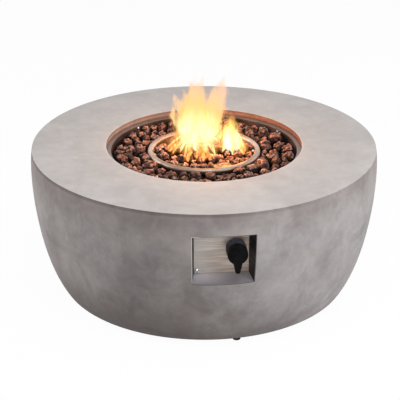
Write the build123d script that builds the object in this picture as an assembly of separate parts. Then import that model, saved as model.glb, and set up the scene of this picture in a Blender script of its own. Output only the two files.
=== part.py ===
"""A round concrete propane fire pit: lava rocks round a ring burner, and a recessed gas control.

Sizes are millimetres. +Z is up and the control recess faces -Y.
The origin is the middle of the footprint, on the floor.
"""
import math
import os
import random

from build123d import *
from build123d import SkipClean

os.makedirs("parts", exist_ok=True)

# Moulded shell
HEIGHT = 390.0  # floor to deck
DECK_RADIUS = 454.0  # at the deck edge
BASE_RADIUS = 384.4  # at the bottom edge of the shell
UPPER_SWELL = 12.7  # the upper control point of the side curve lies this far outside the deck edge
UPPER_DROP = 74.3  # and this far below the deck
LOWER_FLARE = 62.5  # the lower control point lies this far outside the bottom edge
LOWER_RISE = 92.0  # and this far above it
WALL = 12.0
DECK_THICKNESS = 14.0
EDGE_ROUND = 2.5  # on the deck edge and the opening
BOTTOM_ROUND = 5.0
OPENING_RADIUS = 259.0  # the round opening in the deck
BAND_DEPTH = 15.0  # bare concrete from the deck down to the pan flange
COLLAR_WIDTH = 30.0  # thickened rim under the opening, which carries the pan
COLLAR_DEPTH = 48.0
RIM_WIDTH = 50.0  # inward rim at the bottom, which carries the feet
RIM_THICKNESS = 24.0
NOTCH_RADIUS = 17.0  # way out for the hose at the back, in the bottom rim

# Clearances
FIT = 0.3  # between pieces that stay put
RUN_GAP = 0.3  # round pieces that move
SEAT = 0.1  # under a flat screw head on a curved wall

# Screw heads
HEAD_BEVEL = 0.45  # share of the head's height
SOCKET_SHARE = 0.8  # hexagon socket's width, as a share of the head's radius

# Fire pan
PAN_RADIUS = 246.5  # inside of the wall
PAN_DEPTH = 70.0  # flange to floor
PAN_SHEET = 1.2
PAN_BEND = 8.0
PAN_EDGE_GAP = 0.5  # flange edge to concrete
PAN_SIDE_GAP = 0.8  # wall to concrete
DRAIN_COUNT = 6
DRAIN_RADIUS = 4.0
DRAIN_CIRCLE = 215.0
PAN_SCREW_DROP = 8.0  # flange to the screw axis
PAN_SCREW_CLOCK = 10.0  # the two pairs lie evenly about this direction, from +Y towards +X
PAN_SCREW_SPREAD = 51.25  # and this far to each side of it
PAN_SCREW_RADIUS = 2.4
PAN_SCREW_LENGTH = 20.0
PAN_HEAD_RADIUS = 4.5
PAN_HEAD_HEIGHT = 2.8

# Burner and the gas way under it
RING_RADIUS = 141.3  # centreline
RING_TUBE = 8.0
RING_WALL = 1.2
RING_DROP = 22.0  # deck to the ring's middle
CROSS_TUBE = 5.0
CROSS_DROP = 7.0  # cross tube below the ring's middle
RING_SEAM = 20.0  # where the ring tube closes on itself, from +X
PORT_COUNT = 16
PORT_RADIUS = 1.5
PORT_TILT = 45.0  # up from level, towards the middle
HUB_RADIUS = 13.0
HUB_RISE = 2.0  # hub top above the ring's middle
HUB_FALL = 16.0
NIPPLE_RADIUS = 10.6
NIPPLE_WALL = 2.6
NIPPLE_DROP = 22.0  # below the pan floor
LOCKNUT_FLAT = 30.0
LOCKNUT_HEIGHT = 7.0
MIXER_RADIUS = 13.5
MIXER_BORE = 9.0
MIXER_LENGTH = 60.0
MIXER_SOCKET = 11.0  # overlap with the nipple
MIXER_FLOOR = 5.0
AIR_WIDTH = 8.0
AIR_HEIGHT = 16.0
AIR_RISE = 16.0  # mixer bottom to the middle of the air windows
ORIFICE_SPIGOT = 4.7
ORIFICE_FLAT = 16.0
ORIFICE_HEX = 8.0
ORIFICE_JET = 1.0

# Gas pipe and its nuts
PIPE_RADIUS = 4.0
PIPE_WALL = 1.0
PIPE_BEND = 25.0
PIPE_LEAD = 70.0  # straight run behind the valve
PIPE_SAG = 40.0  # lowest run below the orifice
PIPE_APPROACH = 110.0  # lowest run's length to the middle
UNION_RADIUS = 6.0  # male thread at each end of the pipe
UNION_LENGTH = 11.0
NUT_FLAT = 17.0
NUT_GRIP = 9.0  # nut over the thread
NUT_TAIL = 8.0  # nut over the pipe

# Control recess
PLATE_SETBACK = 56.0  # plate behind the deck radius
PLATE_DROP = 125.5  # deck to the middle of the plate
PLATE_WIDTH = 135.0
PLATE_HEIGHT = 113.0
PLATE_SHEET = 1.5
FRAME_SHEET = 1.2
RECESS_DRAFT = 10.5  # degrees, on all four walls
RECESS_REACH = 75.0
RIM_SETBACK = 0.8  # the frame's front edge below the concrete face
PLATE_SCREW_INSET = 7.4
PLATE_SCREW_RADIUS = 2.5
PLATE_HEAD_RADIUS = 5.6
PLATE_HEAD_HEIGHT = 3.0
WASHER_RADIUS = 6.6
WASHER_HEIGHT = 1.0
PLATE_NUT_FLAT = 8.0
PLATE_NUT_HEIGHT = 4.0
PLATE_SCREW_TAIL = 1.5  # past the nut

# Knob
KNOB_SIDE = 34.0  # knob axis to the right of the plate's middle
KNOB_RISE = 12.5  # and above it
BEZEL_RADIUS = 24.0
BEZEL_DEPTH = 9.0
BEZEL_WALL = 2.5
BEZEL_ROUND = 1.5
PUSH_TRAVEL = 4.0
PUSH_SPARE = 1.0  # knob to bezel when pushed in
KNOB_RADIUS = 25.5
KNOB_FRONT_RADIUS = 25.0
KNOB_DEPTH = 37.0
KNOB_WALL = 3.0
KNOB_HOLLOW = 20.0
KNOB_ROUND = 2.5
FLUTE_COUNT = 24
FLUTE_RADIUS = 1.3
GRIP_WIDTH = 32.0  # the tapering bar across the knob, which ends as the pointer
POINTER_WIDTH = 13.0
GRIP_PROUD = 2.0  # bar past the knob's face
GRIP_DEPTH = 20.0
GRIP_TOP = 22.0  # bar end above the axis
GRIP_ROUND = 1.5
POINTER_GAP = 1.0  # pointer tip to the recess wall, pushed in and turned up
BOSS_RADIUS = 8.0
STEM_RADIUS = 4.0
STEM_FLAT = 3.0  # axis to the flat
STEM_GRIP = 22.0  # stem inside the knob
STEM_FIT = 0.1

# Gas valve
VALVE_WIDTH = 36.0
VALVE_TALL = 40.0
VALVE_DEPTH = 44.0
VALVE_ROUND = 3.0
VALVE_GAP = 1.5  # valve to the frame's ledge behind the plate
NECK_RADIUS = 7.5
NECK_LENGTH = 6.5
VALVE_NUT_FLAT = 20.0
VALVE_NUT_HEIGHT = 5.0
STEM_INSIDE = 14.0  # stem behind the valve's front
PLUNGER_LENGTH = 12.0
PLUNGER_GAP = 0.2
BORE_SPARE = 2.0  # bore behind the plunger when pushed in
OUTLET_DROP = 8.0  # outlet below the knob axis
OUTLET_BOSS = 9.5
BOSS_LENGTH = 6.0
GAS_BORE = 2.5
INLET_BOSS = 11.0
INLET_SPIGOT = 7.0
INLET_SPIGOT_LENGTH = 9.0
INLET_FLAT = 20.0
INLET_HEX = 9.0
INLET_RADIUS = 7.94  # male thread for the hose
INLET_LENGTH = 16.0
FLARE_LENGTH = 4.0
FLARE_TIP = 5.0
INLET_BORE = 3.5
MAGNET_BOSS = 10.0
MAGNET_LENGTH = 14.0
PROBE_THREAD = 4.0
PROBE_THREAD_LENGTH = 8.0
PROBE_NUT_FLAT = 12.0
PROBE_NUT_LENGTH = 11.0

# Spark and flame safety
PIEZO_WIDTH = 20.0
PIEZO_TALL = 18.0
PIEZO_DEPTH = 32.0
PIEZO_ROUND = 2.0
TERMINAL_RADIUS = 2.2
TERMINAL_LENGTH = 5.0
LEAD_RADIUS = 1.5
LEAD_BEND = 18.0
LEAD_RUN = 45.0  # straight run behind the piezo block
LEAD_LEVEL = 42.0  # level run below the pan floor
PROBE_LEAD_RADIUS = 1.2
PROBE_LEAD_RUN = 30.0  # straight run beside the valve
PROBE_LEAD_LEVEL = 55.0
PROBE_LEAD_TURN = 150.0  # run back towards the middle
PILOT_ANGLE = 17.0  # from -Y towards +X
PILOT_RADIUS = 118.0
HOOD_WIDTH = 48.0
HOOD_DEPTH = 26.0
HOOD_DROP = 18.0  # deck to the hood
HOOD_SKIRT = 13.0
HOOD_SHEET = 1.2
BRACKET_WIDTH = 24.0
BRACKET_SHEET = 1.5
BRACKET_TAB = 14.0
SHELF_RISE = 34.0  # pan floor to the shelf
SHELF_SPACING = 12.0  # spark pin to probe
INSULATOR_RADIUS = 3.0
INSULATOR_COLLAR = 4.5
COLLAR_HEIGHT = 3.0
INSULATOR_BELOW = 20.0
INSULATOR_ABOVE = 12.0
SPARK_RADIUS = 0.9
SPARK_BELOW = 4.0  # past the insulator
SPARK_ABOVE = 9.0
PROBE_RADIUS = 2.4
PROBE_ROUND = 2.0
PROBE_BELOW = 16.0
PROBE_ABOVE = 22.0
LEAD_HOLE = 10.0
TAB_SCREW_RADIUS = 2.0
TAB_HEAD_RADIUS = 3.6
TAB_HEAD_HEIGHT = 2.4
TAB_SCREW_LENGTH = 8.0

# Lava rock
BED_DEPTH = 37.0  # buried layers on the pan floor
BED_SIDE = 1.0  # bed to the pan wall
BED_HOLE = 15.0
POCKET_MARGIN = 3.0  # bed to the hood and bracket
ROCK_ROOM_LEAST = 8.5  # the middles of two rocks lie at least their two rooms apart
ROCK_ROOM_MOST = 16.5
ROCK_SWELL = 1.4  # middle to surface of a rock, as a share of its room
ROCK_ROUGH = 0.22  # how far the corners of one rock differ
ROCK_STRETCH = 0.4  # how much longer a rock is along its own long axis
ROCK_SNUG = 0.8  # middle of a rock to a wall, as a share of its room
ROCK_TRIES = 9000
ROCK_RISE = 8.0  # middle of a rock above the bed
ROCK_STEP = 14.0  # random extra height
ROCK_BASE = 5.0  # radius of the flat that a rock rests on
ROCK_BASE_CORNERS = 3
ROCK_TOP_DROP = 6.0  # deck to the highest rock
ROCK_GAP = 0.6
ROCK_SHY = 2.0  # rocks short of round walls, so that their corners stay clear
ROCK_CORNERS = 18
ROCK_SEED = 36
TUBE_ROCK_ROOM = 13.5  # rocks that lie on the cross tube
TUBE_ROCK_SWAY = 3.0  # and their random shift
ROCK_REACH = 2 * ROCK_ROOM_MOST * ROCK_SWELL * (1 + ROCK_ROUGH) * (1 + ROCK_STRETCH)
GOLDEN_TURN = math.pi * (3 - math.sqrt(5))

# Feet
FOOT_COUNT = 4
FOOT_CLOCK = 7.0  # first foot, from -Y towards +X
FOOT_INSET = 20.4  # inside the bottom edge
FOOT_RADIUS = 11.0
FOOT_TAPER = 1.0
FOOT_HEIGHT = 12.0
FOOT_RECESS_RADIUS = 6.5
FOOT_RECESS_DEPTH = 6.0
FOOT_HEAD_RADIUS = 5.5
FOOT_HEAD_HEIGHT = 3.0
FOOT_SCREW_RADIUS = 2.5
FOOT_SCREW_LENGTH = 22.0
INSERT_RADIUS = 5.0
INSERT_LENGTH = 17.0

# Levels and frames that follow from the sizes
FLANGE_Z = HEIGHT - BAND_DEPTH
LEDGE_Z = FLANGE_Z - PAN_SHEET
PAN_FLOOR_Z = FLANGE_Z - PAN_DEPTH
PAN_UNDER_Z = PAN_FLOOR_Z - PAN_SHEET
PAN_OUTSIDE = PAN_RADIUS + PAN_SHEET
LEDGE_RADIUS = PAN_OUTSIDE + PAN_SIDE_GAP
RING_Z = HEIGHT - RING_DROP
CROSS_TOP_Z = RING_Z - CROSS_DROP + CROSS_TUBE
HUB_TOP_Z = RING_Z + HUB_RISE
NIPPLE_Z = PAN_UNDER_Z - NIPPLE_DROP
MIXER_Z = NIPPLE_Z + MIXER_SOCKET - MIXER_LENGTH
UNION_Z = MIXER_Z - ORIFICE_HEX - UNION_LENGTH
BED_TOP_Z = PAN_FLOOR_Z + BED_DEPTH
ROCK_TOP_Z = HEIGHT - ROCK_TOP_DROP
HOOD_Z = HEIGHT - HOOD_DROP
SHELF_Z = PAN_FLOOR_Z + SHELF_RISE
SHELF_TOP_Z = SHELF_Z + BRACKET_SHEET
PLATE_Y = PLATE_SETBACK - DECK_RADIUS
FRAME_LEDGE = PLATE_WIDTH / 2 - KNOB_SIDE - VALVE_WIDTH / 2 - VALVE_GAP
KNOB_BACK = BEZEL_DEPTH + PUSH_TRAVEL + PUSH_SPARE
KNOB_FACE = KNOB_BACK + KNOB_DEPTH
VALVE_FRONT = -PLATE_SHEET
VALVE_BACK = VALVE_FRONT - VALVE_DEPTH
VALVE_MIDDLE = (VALVE_FRONT + VALVE_BACK) / 2
STEM_END = VALVE_FRONT - STEM_INSIDE
POINTER_LOW = KNOB_FACE + GRIP_PROUD - GRIP_DEPTH - PUSH_TRAVEL
POINTER_ROOM = PLATE_HEIGHT / 2 - KNOB_RISE + POINTER_LOW * math.tan(math.radians(RECESS_DRAFT))
POINTER_REACH = POINTER_ROOM - POINTER_GAP

# Out of the control plate is local +z, and up is local +y
RECESS = Plane(origin=(0, PLATE_Y, HEIGHT - PLATE_DROP), x_dir=(1, 0, 0), z_dir=(0, -1, 0))
KNOB = RECESS * Pos(KNOB_SIDE, KNOB_RISE, 0)

# Towards the middle of the pit is local +y
PILOT_TURN = math.radians(PILOT_ANGLE)
PILOT = Plane(
    origin=(PILOT_RADIUS * math.sin(PILOT_TURN), -PILOT_RADIUS * math.cos(PILOT_TURN), 0),
    x_dir=(math.cos(PILOT_TURN), math.sin(PILOT_TURN), 0),
    z_dir=(0, 0, 1),
)

UPRIGHT = (Align.CENTER, Align.CENTER, Align.MIN)


def rod(radius, bottom, top):
    """A round bar on the local z axis."""
    return Pos(0, 0, bottom) * Cylinder(radius, top - bottom, align=UPRIGHT)


def hex_bar(flat, bottom, top):
    """A hexagon bar on the local z axis, by its width across flats."""
    outline = RegularPolygon(flat / 2, 6, major_radius=False)
    return extrude(Pos(0, 0, bottom) * outline, amount=top - bottom)


def block(width, depth, bottom, top):
    """A box centred on the local z axis."""
    return Pos(0, 0, bottom) * Box(width, depth, top - bottom, align=UPRIGHT)


def group(shapes):
    """Separate solids that share one node."""
    return Compound([solid for shape in shapes for solid in shape.solids()])


def knob_point(x, y, z):
    """A point given in the knob's frame, in the part's frame."""
    return (KNOB * Pos(x, y, z)).position


def pilot_point(x, y, z):
    """A point given in the pilot's frame, in the part's frame."""
    return (PILOT * Pos(x, y, z)).position


def filled_side(inset):
    """The pit's outside as a full solid, its side curve moved in."""
    curve = Bezier(
        (DECK_RADIUS - inset, HEIGHT),
        (DECK_RADIUS + UPPER_SWELL - inset, HEIGHT - UPPER_DROP),
        (BASE_RADIUS + LOWER_FLARE - inset, FOOT_HEIGHT + LOWER_RISE),
        (BASE_RADIUS - inset, FOOT_HEIGHT),
    )
    rest = Polyline(
        (BASE_RADIUS - inset, FOOT_HEIGHT),
        (0, FOOT_HEIGHT),
        (0, HEIGHT),
        (DECK_RADIUS - inset, HEIGHT),
    )
    return revolve(Plane.XZ * make_face([curve, rest]), Axis.Z)


def recess_prism(width, height, start):
    """The tapering space of the recess, from a level behind its plate outwards."""
    outline = RECESS.offset(start) * Rectangle(width, height)
    return extrude(outline, amount=RECESS_REACH, taper=-RECESS_DRAFT)


def pan_screw_places():
    """Places on the pan wall, with local +z towards the middle of the pit."""
    places = []
    for half_turn in (0, 180):
        for side in (-1, 1):
            turn = math.radians(PAN_SCREW_CLOCK + half_turn + side * PAN_SCREW_SPREAD)
            out = Vector(math.sin(turn), math.cos(turn), 0)
            origin = out * PAN_RADIUS + Vector(0, 0, FLANGE_Z - PAN_SCREW_DROP)
            places.append(Plane(origin=origin, z_dir=-out))
    return places


def foot_places():
    """Places of the feet on the floor."""
    return PolarLocations(BASE_RADIUS - FOOT_INSET, FOOT_COUNT, start_angle=FOOT_CLOCK - 90)


def concrete_shell():
    """Hollow shell with the deck opening, the pan ledge, the bottom rim and the recess."""
    between = rod(DECK_RADIUS + WALL, FOOT_HEIGHT + RIM_THICKNESS, HEIGHT - DECK_THICKNESS)
    cavity = filled_side(WALL) & between
    cavity -= rod(LEDGE_RADIUS + COLLAR_WIDTH, HEIGHT - COLLAR_DEPTH, HEIGHT)
    shell = filled_side(0) - cavity
    shell -= rod(OPENING_RADIUS, LEDGE_Z, HEIGHT)
    shell -= rod(LEDGE_RADIUS, HEIGHT - COLLAR_DEPTH, LEDGE_Z)
    shell -= rod(BASE_RADIUS - RIM_WIDTH, FOOT_HEIGHT, FOOT_HEIGHT + RIM_THICKNESS)
    rings = shell.edges().filter_by(GeomType.CIRCLE)
    deck_edges = rings.filter_by_position(Axis.Z, HEIGHT, HEIGHT)
    bottom_edge = rings.filter_by_position(Axis.Z, FOOT_HEIGHT, FOOT_HEIGHT).sort_by(SortBy.RADIUS)[-1]
    shell = fillet(deck_edges, EDGE_ROUND)
    shell = fillet(bottom_edge, BOTTOM_ROUND)
    space = 2 * (FRAME_SHEET + FIT)
    shell -= recess_prism(PLATE_WIDTH + space, PLATE_HEIGHT + space, -PLATE_SHEET)
    for place in pan_screw_places():
        shell -= place * rod(PAN_SCREW_RADIUS + FIT, -PAN_SCREW_LENGTH - FIT, 0)
    for place in foot_places():
        shell -= place * rod(INSERT_RADIUS + FIT, FOOT_HEIGHT, FOOT_HEIGHT + INSERT_LENGTH + FIT)
    notch = Pos(0, BASE_RADIUS, FOOT_HEIGHT) * Rot(90, 0, 0) * Cylinder(NOTCH_RADIUS, 3 * RIM_WIDTH)
    return shell - notch


def fire_pan():
    """Drawn steel pan whose flange lies on the ledge."""
    outside = rod(PAN_OUTSIDE, PAN_UNDER_Z, FLANGE_Z)
    outside = fillet(outside.edges().group_by(Axis.Z)[0], PAN_BEND + PAN_SHEET)
    inside = rod(PAN_RADIUS, PAN_FLOOR_Z, FLANGE_Z)
    inside = fillet(inside.edges().group_by(Axis.Z)[0], PAN_BEND)
    pan = outside + rod(OPENING_RADIUS - PAN_EDGE_GAP, LEDGE_Z, FLANGE_Z) - inside
    pan -= rod(NIPPLE_RADIUS + FIT, PAN_UNDER_Z, PAN_FLOOR_Z)
    for place in PolarLocations(DRAIN_CIRCLE, DRAIN_COUNT):
        pan -= place * rod(DRAIN_RADIUS, PAN_UNDER_Z, PAN_FLOOR_Z)
    for place in pan_screw_places():
        pan -= place * rod(PAN_SCREW_RADIUS + FIT, -PAN_BEND, PAN_BEND)
    pan -= PILOT * Pos(0, -shelf_reach(), 0) * rod(LEAD_HOLE, PAN_UNDER_Z, PAN_FLOOR_Z)
    pan -= PILOT * Pos(0, tab_reach(), 0) * rod(TAB_SCREW_RADIUS + FIT, PAN_UNDER_Z, PAN_FLOOR_Z)
    return pan


def domed_screw(shank, length, head, head_height):
    """A button-headed screw, its head seat at local z 0 and its shank downwards."""
    cap = rod(head, 0, head_height)
    cap = chamfer(cap.edges().group_by(Axis.Z)[-1], head_height * HEAD_BEVEL)
    socket = hex_bar(head * SOCKET_SHARE, head_height / 2, head_height)
    return cap + rod(shank, -length, 0) - socket


def pan_screws():
    """Screws through the pan wall into the concrete collar."""
    screw = domed_screw(PAN_SCREW_RADIUS, PAN_SCREW_LENGTH, PAN_HEAD_RADIUS, PAN_HEAD_HEIGHT)
    return group(place * Pos(0, 0, SEAT) * screw for place in pan_screw_places())


def burner():
    """Welded ring, cross tube, hub and threaded nipple, hollow, with gas ports in the ring."""
    level = Pos(0, 0, RING_Z)
    ring = level * Rot(0, 0, RING_SEAM) * Torus(RING_RADIUS, RING_TUBE)
    ring_bore = level * Rot(0, 0, RING_SEAM) * Torus(RING_RADIUS, RING_TUBE - RING_WALL)
    across = Pos(0, 0, RING_Z - CROSS_DROP) * Rot(0, 90, 0)
    hub = rod(HUB_RADIUS, RING_Z - HUB_FALL, HUB_TOP_Z)
    nipple = rod(NIPPLE_RADIUS, NIPPLE_Z, RING_Z)
    drill = Rot(0, PORT_TILT - 90, 0) * rod(PORT_RADIUS, 0, 2 * RING_TUBE)
    ports = PolarLocations(RING_RADIUS, PORT_COUNT, start_angle=180 / PORT_COUNT)
    with SkipClean():
        solid = ring + across * Cylinder(CROSS_TUBE, 2 * RING_RADIUS)
        solid += hub + nipple
        solid -= ring_bore
        solid -= across * Cylinder(CROSS_TUBE - RING_WALL, 2 * RING_RADIUS)
        solid -= rod(NIPPLE_RADIUS - NIPPLE_WALL, NIPPLE_Z, HUB_TOP_Z - NIPPLE_WALL)
        for place in ports:
            solid -= level * place * drill
    return solid


def burner_locknut():
    """Nut that clamps the burner to the pan floor."""
    nut = hex_bar(LOCKNUT_FLAT, PAN_UNDER_Z - LOCKNUT_HEIGHT, PAN_UNDER_Z)
    return nut - rod(NIPPLE_RADIUS + FIT, PAN_UNDER_Z - LOCKNUT_HEIGHT, PAN_UNDER_Z)


def air_mixer():
    """Tube below the nipple with four air windows."""
    tube = rod(MIXER_RADIUS, MIXER_Z, MIXER_Z + MIXER_LENGTH)
    tube -= rod(MIXER_BORE, MIXER_Z + MIXER_FLOOR, NIPPLE_Z)
    tube -= rod(NIPPLE_RADIUS + FIT, NIPPLE_Z, MIXER_Z + MIXER_LENGTH)
    tube -= rod(ORIFICE_SPIGOT + FIT, MIXER_Z, MIXER_Z + MIXER_FLOOR)
    middle = MIXER_Z + AIR_RISE
    window = block(AIR_WIDTH, 3 * MIXER_RADIUS, middle - AIR_HEIGHT / 2, middle + AIR_HEIGHT / 2)
    return tube - window - Rot(0, 0, 90) * window


def gas_orifice():
    """Brass jet in the mixer floor, with the thread for the pipe nut below."""
    jet = rod(ORIFICE_SPIGOT, MIXER_Z, MIXER_Z + MIXER_FLOOR)
    jet += hex_bar(ORIFICE_FLAT, MIXER_Z - ORIFICE_HEX, MIXER_Z)
    jet += rod(UNION_RADIUS, UNION_Z, MIXER_Z - ORIFICE_HEX)
    return jet - rod(ORIFICE_JET, UNION_Z, MIXER_Z + MIXER_FLOOR)


def pipe_ends():
    """Planes at the two ends of the pipe, with local +z into the fitting."""
    at_valve = knob_point(0, -OUTLET_DROP, VALVE_BACK - BOSS_LENGTH - UNION_LENGTH)
    return Plane(origin=at_valve, z_dir=(0, -1, 0)), Plane(origin=(0, 0, UNION_Z), z_dir=(0, 0, 1))


def gas_pipe():
    """Bent pipe from the valve outlet to the orifice."""
    valve_end, orifice_end = pipe_ends()
    start = valve_end.origin
    low = UNION_Z - PIPE_SAG
    turn = start + Vector(0, PIPE_LEAD, 0)
    path = FilletPolyline(
        start, turn, (0, -PIPE_APPROACH, low), (0, 0, low), orifice_end.origin, radius=PIPE_BEND
    )
    section = Circle(PIPE_RADIUS) - Circle(PIPE_RADIUS - PIPE_WALL)
    return sweep(Plane(origin=start, z_dir=(0, 1, 0)) * section, path=path)


def pipe_nuts():
    """A union nut at each end of the pipe."""
    nut = hex_bar(NUT_FLAT, -NUT_TAIL, NUT_GRIP)
    nut -= rod(UNION_RADIUS + FIT, -FIT, NUT_GRIP) + rod(PIPE_RADIUS + FIT, -NUT_TAIL, 0)
    return group(end * nut for end in pipe_ends())


def recess_frame():
    """Sloping walls of the recess, with a ledge behind the plate, trimmed to the concrete's curve."""
    width = PLATE_WIDTH + 2 * FRAME_SHEET
    height = PLATE_HEIGHT + 2 * FRAME_SHEET
    frame = recess_prism(width, height, -PLATE_SHEET) & filled_side(RIM_SETBACK)
    frame += RECESS.offset(-PLATE_SHEET) * block(width, height, -FRAME_SHEET, 0)
    frame -= recess_prism(PLATE_WIDTH, PLATE_HEIGHT, -PLATE_SHEET)
    window = block(PLATE_WIDTH - 2 * FRAME_LEDGE, PLATE_HEIGHT - 2 * FRAME_LEDGE, -FRAME_SHEET, 0)
    frame -= RECESS.offset(-PLATE_SHEET) * window
    for place in plate_screw_places():
        frame -= place * rod(PLATE_SCREW_RADIUS + FIT, -PLATE_SHEET - FRAME_SHEET, 0)
    return frame


def plate_screw_places():
    """Places of the two screws, in opposite corners of the plate's face."""
    across = PLATE_WIDTH / 2 - PLATE_SCREW_INSET
    up = PLATE_HEIGHT / 2 - PLATE_SCREW_INSET
    return [RECESS * Pos(side * across, side * up, 0) for side in (-1, 1)]


def control_plate():
    """Flat plate at the back of the recess, with the hole for the valve neck."""
    plate = RECESS * block(PLATE_WIDTH - 2 * FIT, PLATE_HEIGHT - 2 * FIT, -PLATE_SHEET, 0)
    plate -= KNOB * rod(NECK_RADIUS + FIT, -PLATE_SHEET, 0)
    for place in plate_screw_places():
        plate -= place * rod(PLATE_SCREW_RADIUS + FIT, -PLATE_SHEET, 0)
    return plate


def plate_screws():
    """Two corner screws."""
    tail = PLATE_SHEET + FRAME_SHEET + PLATE_NUT_HEIGHT + PLATE_SCREW_TAIL
    screw = domed_screw(PLATE_SCREW_RADIUS, WASHER_HEIGHT + tail, PLATE_HEAD_RADIUS, PLATE_HEAD_HEIGHT)
    return group(place * Pos(0, 0, WASHER_HEIGHT) * screw for place in plate_screw_places())


def plate_washers():
    """A washer under each corner screw."""
    washer = rod(WASHER_RADIUS, 0, WASHER_HEIGHT) - rod(PLATE_SCREW_RADIUS + FIT, 0, WASHER_HEIGHT)
    return group(place * washer for place in plate_screw_places())


def plate_nuts():
    """A nut behind the frame's ledge on each corner screw."""
    top = -PLATE_SHEET - FRAME_SHEET
    nut = hex_bar(PLATE_NUT_FLAT, top - PLATE_NUT_HEIGHT, top)
    nut -= rod(PLATE_SCREW_RADIUS + FIT, top - PLATE_NUT_HEIGHT, top)
    return group(place * nut for place in plate_screw_places())


def knob_bezel():
    """Hollow collar on the plate behind the knob."""
    cup = rod(BEZEL_RADIUS, 0, BEZEL_DEPTH)
    cup = fillet(cup.edges().group_by(Axis.Z)[-1], BEZEL_ROUND)
    cup -= rod(BEZEL_RADIUS - BEZEL_WALL, 0, BEZEL_DEPTH - BEZEL_WALL)
    return KNOB * (cup - rod(NECK_RADIUS + FIT, 0, BEZEL_DEPTH))


def d_bar(radius, flat, bottom, top):
    """A round bar with one flat at its upper side."""
    cut = Pos(0, flat + radius, 0) * block(4 * radius, 2 * radius, bottom, top)
    return rod(radius, bottom, top) - cut


def control_knob():
    """Fluted knob with a bar across its face that ends as the pointer, hollow behind."""
    body = Pos(0, 0, KNOB_BACK) * Cone(KNOB_RADIUS, KNOB_FRONT_RADIUS, KNOB_DEPTH, align=UPRIGHT)
    body = fillet(body.edges().group_by(Axis.Z)[-1], KNOB_ROUND)
    for place in PolarLocations(KNOB_RADIUS, FLUTE_COUNT):
        body -= place * rod(FLUTE_RADIUS, KNOB_BACK, KNOB_FACE)
    top = KNOB_FACE + GRIP_PROUD
    wide_end = Pos(0, GRIP_TOP - GRIP_WIDTH / 2) * Circle(GRIP_WIDTH / 2)
    pointed_end = Pos(0, POINTER_WIDTH / 2 - POINTER_REACH) * Circle(POINTER_WIDTH / 2)
    outline = make_hull(wide_end.edges() + pointed_end.edges())
    grip = extrude(Pos(0, 0, top - GRIP_DEPTH) * outline, amount=GRIP_DEPTH)
    grip = fillet(grip.edges().group_by(Axis.Z)[-1], GRIP_ROUND)
    hollow = rod(KNOB_FRONT_RADIUS - KNOB_WALL - FLUTE_RADIUS, KNOB_BACK, KNOB_BACK + KNOB_HOLLOW)
    hollow -= rod(BOSS_RADIUS, KNOB_BACK, KNOB_BACK + KNOB_HOLLOW)
    bore = d_bar(STEM_RADIUS + STEM_FIT, STEM_FLAT + STEM_FIT, KNOB_BACK, KNOB_BACK + STEM_GRIP + STEM_FIT)
    return KNOB * (body + grip - hollow - bore)


def valve_stem():
    """Stem from the knob into the valve, with a flat where the knob grips it."""
    plain = rod(STEM_RADIUS, STEM_END, KNOB_BACK)
    return KNOB * (plain + d_bar(STEM_RADIUS, STEM_FLAT, KNOB_BACK, KNOB_BACK + STEM_GRIP))


def valve_plunger():
    """Rod that the stem pushes to hold the safety valve open."""
    top = STEM_END - PLUNGER_GAP
    return KNOB * rod(STEM_RADIUS, top - PLUNGER_LENGTH, top)


def valve_body():
    """Cast valve block with its neck, inlet, outlet and safety magnet bosses."""
    body = block(VALVE_WIDTH, VALVE_TALL, VALVE_BACK, VALVE_FRONT)
    body = fillet(body.edges().filter_by(Axis.Z), VALVE_ROUND)
    body += rod(NECK_RADIUS, VALVE_FRONT, NECK_LENGTH)
    behind = VALVE_BACK - BOSS_LENGTH
    outlet = rod(OUTLET_BOSS, behind, VALVE_BACK) + rod(UNION_RADIUS, behind - UNION_LENGTH, behind)
    body += Pos(0, -OUTLET_DROP, 0) * outlet
    body += inlet_place() * rod(INLET_BOSS, -BOSS_LENGTH, 0)
    magnet = rod(MAGNET_BOSS, 0, MAGNET_LENGTH)
    magnet += rod(PROBE_THREAD, MAGNET_LENGTH, MAGNET_LENGTH + PROBE_THREAD_LENGTH)
    body += magnet_place() * magnet
    bore_end = STEM_END - PLUNGER_GAP - PLUNGER_LENGTH - PUSH_TRAVEL - BORE_SPARE
    body -= rod(STEM_RADIUS + RUN_GAP, bore_end, NECK_LENGTH)
    gas_way = rod(GAS_BORE, behind - UNION_LENGTH, VALVE_BACK + BOSS_LENGTH)
    body -= Pos(0, -OUTLET_DROP, 0) * gas_way
    body -= inlet_place() * rod(INLET_SPIGOT + FIT, -BOSS_LENGTH, INLET_SPIGOT_LENGTH - BOSS_LENGTH + FIT)
    return KNOB * body


def inlet_place():
    """On the valve's underside in the knob's frame, local +z up into the block."""
    return Pos(0, -VALVE_TALL / 2, VALVE_MIDDLE) * Rot(-90, 0, 0)


def magnet_place():
    """On the valve's left side in the knob's frame, local +z away from the block."""
    return Pos(-VALVE_WIDTH / 2, 0, VALVE_MIDDLE) * Rot(0, -90, 0)


def valve_nut():
    """Nut on the valve neck that clamps the valve to the plate."""
    nut = hex_bar(VALVE_NUT_FLAT, 0, VALVE_NUT_HEIGHT)
    return KNOB * (nut - rod(NECK_RADIUS + FIT, 0, VALVE_NUT_HEIGHT))


def gas_inlet():
    """Brass fitting under the valve with a flared male end for the supply hose."""
    seat = -BOSS_LENGTH
    thread_top = seat - INLET_HEX
    thread_end = thread_top - INLET_LENGTH
    fitting = rod(INLET_SPIGOT, seat, seat + INLET_SPIGOT_LENGTH)
    fitting += hex_bar(INLET_FLAT, thread_top, seat)
    fitting += rod(INLET_RADIUS, thread_end, thread_top)
    flare = Cone(FLARE_TIP, INLET_RADIUS, FLARE_LENGTH, align=UPRIGHT)
    fitting += Pos(0, 0, thread_end - FLARE_LENGTH) * flare
    fitting -= rod(INLET_BORE, thread_end - FLARE_LENGTH, seat + INLET_SPIGOT_LENGTH)
    return KNOB * inlet_place() * fitting


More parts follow.
